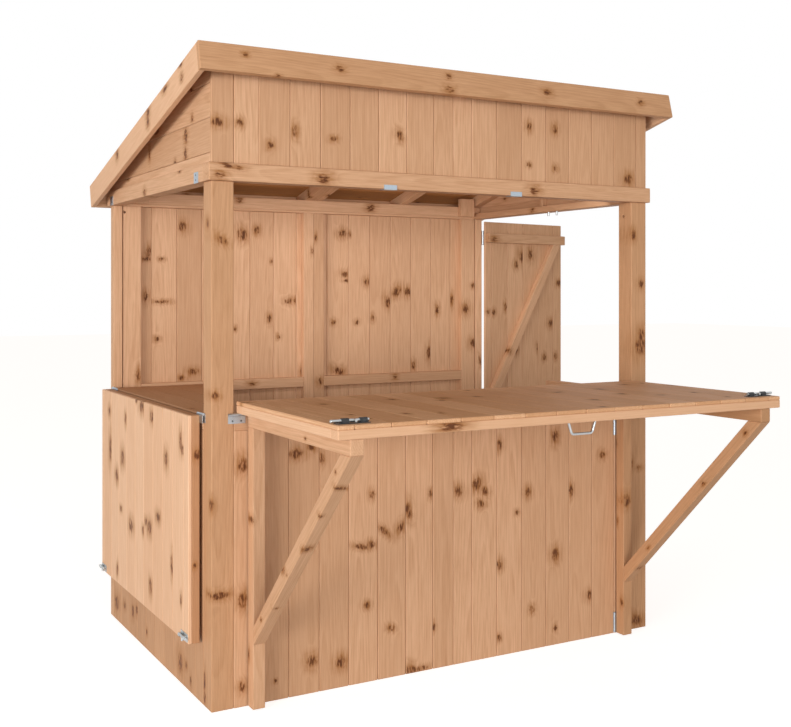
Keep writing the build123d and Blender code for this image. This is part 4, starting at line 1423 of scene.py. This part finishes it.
@dataclass
class Door:
    """The ledged and braced door, standing open."""

    wood: Material
    boards: Matchboard
    edge: float = 3 * MM
    wide: float = 545 * MM
    foot: float = 25 * MM
    head: float = 1.663
    out: float = 3 * MM
    board: float = 12 * MM
    ledge: float = 28 * MM
    ledge_height: float = 45 * MM
    ledge_tops: tuple[float, ...] = (0.217, 0.790, 1.607)
    brace: float = 45 * MM
    heel: float = 44 * MM
    toe: float = 33 * MM
    spare: float = 0.2
    first_board: float = 43 * MM

    def build(self) -> None:
        """Builds boards, ledges and braces."""
        place = door_place()
        free = self.edge + self.wide
        face = self.out + self.board
        boards = Joinery("door_matchboard", self.wood, place)
        self.boards.lay(boards, (self.edge, self.out, self.foot), (free, face, self.head), Axis.Z, Axis.Y,
                        self.first_board)
        boards.finish("door", "door_boards", slot="matchboard")
        ledges = Joinery("door_ledge_timbers", self.wood, place)
        for top in self.ledge_tops:
            ledges.timber((self.edge, face, top - self.ledge_height), (free, face + self.ledge, top), Axis.X,
                          Axis.Y)
        ledges.finish("door", "door_ledges")
        self._braces(place, face)

    def _braces(self, place: Matrix, face: float) -> None:
        """Both braces, mitred under the ledges.

        Args:
            place: The door's frame.
            face: Where the boards end in the door's frame.
        """
        run = self.wide - self.heel - self.toe
        for (name, nodes, low, top) in zip(("door_lower_brace", "door_brace"), (("door_braces",), ()),
                                           self.ledge_tops, self.ledge_tops[1:]):
            high = top - self.ledge_height
            angle = math.atan2(high - low, run)
            start = Vector((self.edge + self.heel, 0, low))
            local = Matrix.Translation(start) @ Matrix.Rotation(-angle, 4, "Y")
            inverse = local.inverted()
            spin = inverse.to_3x3()
            cuts = (Cut(tuple(inverse @ Vector((0, 0, low))), tuple(spin @ Vector((0, 0, -1)))),
                    Cut(tuple(inverse @ Vector((0, 0, high))), tuple(spin @ Vector((0, 0, 1)))),
                    Cut(tuple(inverse @ Vector((self.edge, 0, 0))), tuple(spin @ Vector((-1, 0, 0)))))
            brace = Joinery(name, self.wood, place @ local)
            length = run / math.cos(angle)
            brace.timber((-self.spare, face, 0), (length + self.spare, face + self.ledge, self.brace), Axis.X,
                         Axis.Y, cuts=cuts)
            brace.finish("door", *nodes)


@dataclass
class Metalwork:
    """Hinges, plates, pins, bolts and the handle, which stay the CAD model's own shapes."""

    zinc: ZincPlate
    plate: ZincPlate
    screw: ZincPlate
    japan: BlackJapan

    def build(self) -> None:
        """Plates and lacquers the CAD metalwork, and drives its screws."""
        bright = self.zinc.material()
        plate = self.plate.material()
        black = self.japan.material()
        Screws(self.screw.material(), black).build()
        for name, node in FRAME["nodes"].items():
            slot = next(part["material_slot"] for part in FRAME["record"]["subparts"] if part["node"] == name)
            if slot in ("zinc", "japanned"):
                finish = black if slot == "japanned" else bright
                if "leaves" in name or name == "beam_plates":
                    finish = plate
                if "shoot" in name or name.startswith("left_hatch_bolt"):
                    finish = bright
                node.data.materials.clear()
                node.data.materials.append(finish)
                LOG.info("%s: %s", name, finish.name)


@dataclass
class Screws:
    """Countersunk screws with a six-point star drive, in the plates of the hinges and bolts."""

    zinc: Material
    black: Material
    head: float = 6.4 * MM
    proud: float = 0.5 * MM
    rim: float = 1.3 * MM
    drive: float = 0.5 * MM
    sides: int = 12
    star: float = 0.6
    bolt_plate: float = 2 * MM
    hatch_pitch: float = 14.5 * MM
    bracket_pitch: float = 24 * MM
    leaf_middle: float = 20 * MM
    leaf_face: float = 2.5 * MM
    door_face: float = 1 * MM
    bolt_reach: tuple[float, float] = (8 * MM, 54.5 * MM)
    small_bolt_reach: float = 33.5 * MM
    bolt_side: float = 9 * MM
    plate_rises: tuple[float, float] = (9 * MM, 25 * MM)
    plate_middles: tuple[float, float] = (0.0805, 1.1095)
    hatch_hinge_x: float = 0.816
    side_hinge_ys: tuple[float, float] = (0.058, 1.095)
    bracket_hinge_zs: tuple[float, float] = (0.0445, 0.807)
    door_hinge_zs: tuple[float, float] = (0.1945, 1.5845)

    def build(self) -> None:
        """Drives every screw."""
        self._drive("hinge_screws", "bar", self.zinc, self._fixed())
        for body, side in (("left_bracket", -1), ("right_bracket", 1)):
            pin = pin_of(f"{body}_hinge")
            spot = pin + Vector((side * self.leaf_middle, -self.leaf_face, 0))
            self._drive(f"{body}_screws", body, self.zinc,
                        self._row(spot, Vector((0, 1, 0)), self._bracket_rises(pin)))
        place = door_place()
        free, inner = (Vector(place.col[number][:3]) for number in (0, 1))
        spot = place.translation + free * self.leaf_middle + inner * self.door_face
        self._drive("door_hinge_screws", "door", self.zinc,
                    self._row(spot, -inner, [Vector((0, 0, rise)) for rise in self._door_rises()]))
        low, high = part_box("front_bolt_bodies")
        top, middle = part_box("front_hatch_boards")[1].z + self.bolt_plate, (low.y + high.y) / 2
        steps = [Vector((0, step, 0)) for step in (-self.bolt_side, self.bolt_side)]
        self._drive("counter_bolt_screws", "front_hatch", self.black,
                    [screw for reach in self.bolt_reach for x in (low.x + reach, high.x - reach)
                     for screw in self._row(Vector((x, middle, top)), Vector((0, 0, 1)), steps)])
        low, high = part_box("left_hatch_bolt_bodies")
        outer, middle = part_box("left_hatch_boards")[0].x - self.bolt_plate, (low.z + high.z) / 2
        steps = [Vector((0, 0, step)) for step in (-self.bolt_side, self.bolt_side)]
        self._drive("hatch_bolt_screws", "left_hatch", self.zinc,
                    [screw for y in (low.y + self.small_bolt_reach, high.y - self.small_bolt_reach)
                     for screw in self._row(Vector((outer, y, middle)), Vector((-1, 0, 0)), steps)])

    def _fixed(self) -> list[tuple[Vector, Vector]]:
        """Places the screws in the leaves and plates that stay on the bar."""
        steps = (-self.hatch_pitch, self.hatch_pitch)
        out, left, right = Vector((0, -1, 0)), Vector((-1, 0, 0)), Vector((1, 0, 0))
        pin = pin_of("front_hatch_hinge")
        screws = [(Vector((side * self.hatch_hinge_x + step, pin.y + self.leaf_face, pin.z - self.leaf_middle)), out)
                  for side in (-1, 1) for step in steps]
        pin = pin_of("left_hatch_hinge")
        screws += [(Vector((pin.x + self.leaf_face, middle + step, pin.z - self.leaf_middle)), left)
                   for middle in self.side_hinge_ys for step in steps]
        for body, side in (("left_bracket", -1), ("right_bracket", 1)):
            pin = pin_of(f"{body}_hinge")
            spot = pin + Vector((side * self.leaf_middle, self.leaf_face, 0))
            screws += self._row(spot, out, self._bracket_rises(pin))
        spot = door_place().translation + Vector((-self.door_face, self.leaf_middle, 0))
        screws += self._row(spot, right, [Vector((0, 0, rise)) for rise in self._door_rises()])
        low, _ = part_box("beam_plates")
        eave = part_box("side_beams")[0].z
        screws += [(Vector((low.x, middle, eave + rise)), left)
                   for middle in self.plate_middles for rise in self.plate_rises]
        return screws

    def _bracket_rises(self, pin: Vector) -> list[Vector]:
        """Works out the screws' heights on a bracket's hinges, from its pin."""
        return [Vector((0, 0, middle + step - pin.z)) for middle in self.bracket_hinge_zs
                for step in (-self.bracket_pitch, self.bracket_pitch)]

    def _door_rises(self) -> list[float]:
        """Works out the screws' heights on the door's hinges."""
        return [middle + step for middle in self.door_hinge_zs for step in (-self.bracket_pitch, self.bracket_pitch)]

    def _row(self, spot: Vector, facing: Vector, steps: list[Vector]) -> list[tuple[Vector, Vector]]:
        """Places screws at steps from a spot, all facing one way.

        Args:
            spot: The point that the steps start from.
            facing: The way that the heads look.
            steps: Each screw's distance from the spot.

        Returns:
            Each screw's place and facing.
        """
        return [(spot + step, facing) for step in steps]

    def _model(self) -> bpy.types.Object:
        """Models one screw head: a disc with a star-shaped recess sunk into it."""
        deselect()
        bpy.ops.mesh.primitive_cylinder_add(vertices=self.sides, radius=self.head / 2, depth=self.proud,
                                            location=(0, 0, self.proud / 2))
        head = bpy.context.object
        bpy.ops.object.transform_apply(location=True, rotation=True, scale=True)
        self._select_top(head)
        bpy.ops.mesh.inset(thickness=self.rim)
        bpy.ops.object.mode_set(mode="OBJECT")
        top = next(face for face in head.data.polygons if face.select)
        for vertex in list(top.vertices)[::2]:
            head.data.vertices[vertex].co.xy *= self.star
        bpy.ops.object.mode_set(mode="EDIT")
        bpy.ops.mesh.extrude_region_move(TRANSFORM_OT_translate={"value": (0, 0, -self.drive)})
        bpy.ops.object.mode_set(mode="OBJECT")
        return head

    def _select_top(self, head: bpy.types.Object) -> None:
        """Enters edit mode with the head's top face selected."""
        bpy.ops.object.mode_set(mode="EDIT")
        bpy.ops.mesh.select_mode(type="FACE")
        bpy.ops.mesh.select_all(action="DESELECT")
        bpy.ops.object.mode_set(mode="OBJECT")
        for face in head.data.polygons:
            face.select = face.normal.z > 0.9
        bpy.ops.object.mode_set(mode="EDIT")

    def _drive(self, name: str, body: str, finish: Material,
               places: list[tuple[Vector, Vector]]) -> None:
        """Copies the head to its places and gives the screws to a body.

        Args:
            name: The piece's name.
            body: The body that they ride on.
            finish: Their plating.
            places: Where each head sits and the way that it faces.
        """
        model = self._model()
        heads = []
        for (point, facing) in places:
            head = model.copy()
            head.data = model.data.copy()
            bpy.context.collection.objects.link(head)
            turn = facing.to_track_quat("Z", "Y").to_matrix().to_4x4()
            head.data.transform(Matrix.Translation(point) @ turn)
            heads.append(head)
        bpy.data.objects.remove(model)
        piece = join(heads, name)
        piece.data.materials.append(finish)
        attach(piece, body)
        LOG.info("%s: %d heads", name, len(heads))


@dataclass(frozen=True)
class Lamp:
    """An area lamp: where it hangs, what it points at, its two sides and its power."""

    name: str
    place: Point
    target: Point
    size: tuple[float, float]
    power: float

    def hang(self) -> None:
        """Hangs the lamp, unseen by the camera."""
        bpy.ops.object.light_add(type="AREA", location=self.place)
        lamp = bpy.context.object
        lamp.name = self.name
        lamp.visible_camera = False
        lamp.data.shape = "RECTANGLE"
        lamp.data.size, lamp.data.size_y = self.size
        lamp.data.energy = self.power
        aim = Vector(self.target) - Vector(self.place)
        lamp.rotation_euler = aim.to_track_quat("-Z", "Y").to_euler()


LAMPS = (Lamp("key", (-9.0, -4.0, 1.5), (0, 0.4, 1.0), (5, 3), 630.0),
         Lamp("fill", (-2.0, -10.0, 1.4), (0, 0.4, 1.0), (5, 3), 420.0),
         Lamp("inside", (0, 0.12, 1.66), (0, 1.15, 1.15), (1.6, 0.12), 3.4))


@dataclass(frozen=True)
class Studio:
    """A plain pale studio: white floor, soft key from the left, and the photograph's camera."""

    focal_px: float = 1086.22
    image_width: int = 791
    image_height: int = 727
    centre_px: tuple[float, float] = (392.27, 290.92)
    yaw: float = 29.28
    eye: Point = (-2.07257, -3.27874, 1.32618)
    sensor: float = 36.0
    far: float = 200.0
    floor_side: float = 60.0
    floor_drop: float = 0.5 * MM

    def build(self) -> None:
        """Sets the camera, the lamps, the world and the floor."""
        self._camera()
        self._lamps()
        self._world()
        self._floor()

    def _camera(self) -> None:
        """The level camera with the photograph's framing."""
        bpy.ops.object.camera_add(location=self.eye, rotation=(math.radians(90), 0, -math.radians(self.yaw)))
        camera = bpy.context.object
        camera.data.sensor_width = self.sensor
        camera.data.lens = self.focal_px * self.sensor / self.image_width
        camera.data.shift_x = (self.image_width / 2 - self.centre_px[0]) / self.image_width
        camera.data.shift_y = (self.centre_px[1] - self.image_height / 2) / self.image_width
        camera.data.clip_end = self.far
        bpy.context.scene.camera = camera

    def _lamps(self) -> None:
        """A wide key from the left, a fill from the front and a weak strip behind the front beam."""
        for lamp in LAMPS:
            lamp.hang()

    def _world(self) -> None:
        """Even light all round, white to the camera and in reflections."""
        world = bpy.data.worlds.new("studio")
        bpy.context.scene.world = world
        world.use_nodes = True
        tree = world.node_tree
        tree.nodes.clear()
        seen = seen_directly(tree)
        white = add_node(tree, "Background", {"Color": grey(1.0), "Strength": 1.0})
        soft = add_node(tree, "Background", {"Color": linear("#FFEFE0"), "Strength": 0.34})
        mixed = add_node(tree, "MixShader", {0: seen, 1: soft.outputs[0], 2: white.outputs[0]})
        add_node(tree, "OutputWorld", {"Surface": mixed.outputs[0]})

    def _floor(self) -> None:
        """A white floor that keeps a soft shadow."""
        deselect()
        bpy.ops.mesh.primitive_plane_add(size=self.floor_side, location=(0, 0, -self.floor_drop))
        floor = bpy.context.object
        floor.name = "studio_floor"
        material, tree = new_material("white_paper_floor")
        seen = seen_directly(tree)
        paper = add_node(tree, "BsdfDiffuse", {"Color": grey(0.62)})
        glow = add_node(tree, "Emission", {"Color": grey(1.0), "Strength": 0.8})
        both = add_node(tree, "AddShader", {0: paper.outputs[0], 1: glow.outputs[0]})
        mixed = add_node(tree, "MixShader", {0: seen, 1: paper.outputs[0], 2: both.outputs[0]})
        add_node(tree, "OutputMaterial", {"Surface": mixed.outputs[0]})
        floor.data.materials.append(material)


# Copies of the stain, some of them painted light and shade: the lightest paints the light on faces that the key lamp
# lights from the left (hanging hatch, counter frame, barge boards); the darkest is the corner shelf's wood and paints
# the shade on the hanging hatch's rails; the tan one paints the shade on the left wall behind the hanging hatch, the
# left front post and the right bracket, and is the fascia's own wood; the deep brown one paints the shade on the roof
# boards under the eaves; the counter's boards take one with lighter early wood and warmer late wood.
SHADES = (("darker", "#C4966F", "#A67450", "#9D6C45"), ("worn", "#F0C49C", "#BA8252", "#BC8658"),
          ("painted_lit", "#F2CBA9", "#CFA079", "#D2A27B"), ("tan", "#D5A780", "#AC7C53", "#A47852"),
          ("deep", "#CF9660", "#A46A36", "#9A602E"))

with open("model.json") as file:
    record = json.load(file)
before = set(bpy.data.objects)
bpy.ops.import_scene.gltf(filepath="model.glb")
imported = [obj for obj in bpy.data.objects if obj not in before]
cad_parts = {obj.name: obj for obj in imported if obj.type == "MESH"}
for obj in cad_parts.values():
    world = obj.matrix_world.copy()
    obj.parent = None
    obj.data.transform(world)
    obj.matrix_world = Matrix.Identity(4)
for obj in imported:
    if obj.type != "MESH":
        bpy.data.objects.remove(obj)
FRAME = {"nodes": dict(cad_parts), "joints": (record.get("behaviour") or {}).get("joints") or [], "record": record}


def main() -> None:
    """Builds the studio and the garden bar in order."""
    logging.basicConfig(level=logging.INFO, format="%(message)s")
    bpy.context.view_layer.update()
    Studio().build()
    wood = StainedSoftwood().material()
    woods = {name: StainedSoftwood(f"{name}_stained_softwood", early, late, deep).material()
             for (name, early, late, deep) in SHADES}
    boards = Matchboard()
    Shell(wood, woods["tan"], woods["darker"], boards).build()
    Roof(wood, woods["painted_lit"], woods["tan"], woods["deep"], boards, MineralFelt()).build()
    Hatches(woods["worn"], woods["painted_lit"], woods["darker"], boards).build()
    # The right bracket takes the darker tan wood: painted shade on it.
    Brackets({"left_bracket": wood, "right_bracket": woods["tan"]}).build()
    Door(wood, boards).build()
    plate = ZincPlate(name="zinc_plated_sheet", colour="#C3CDD6", dull="#95A1AB", flat=True)
    # The screw heads' zinc is darker than the plates': painted shade that stands in for the shade in their sunk
    # recesses.
    screw = ZincPlate(name="zinc_plated_screw", colour="#767B80", dull="#4E5257")
    Metalwork(ZincPlate(), plate, screw, BlackJapan()).build()
    bpy.context.scene.view_settings.view_transform = "Standard"


if __name__ == "__main__":
    main()
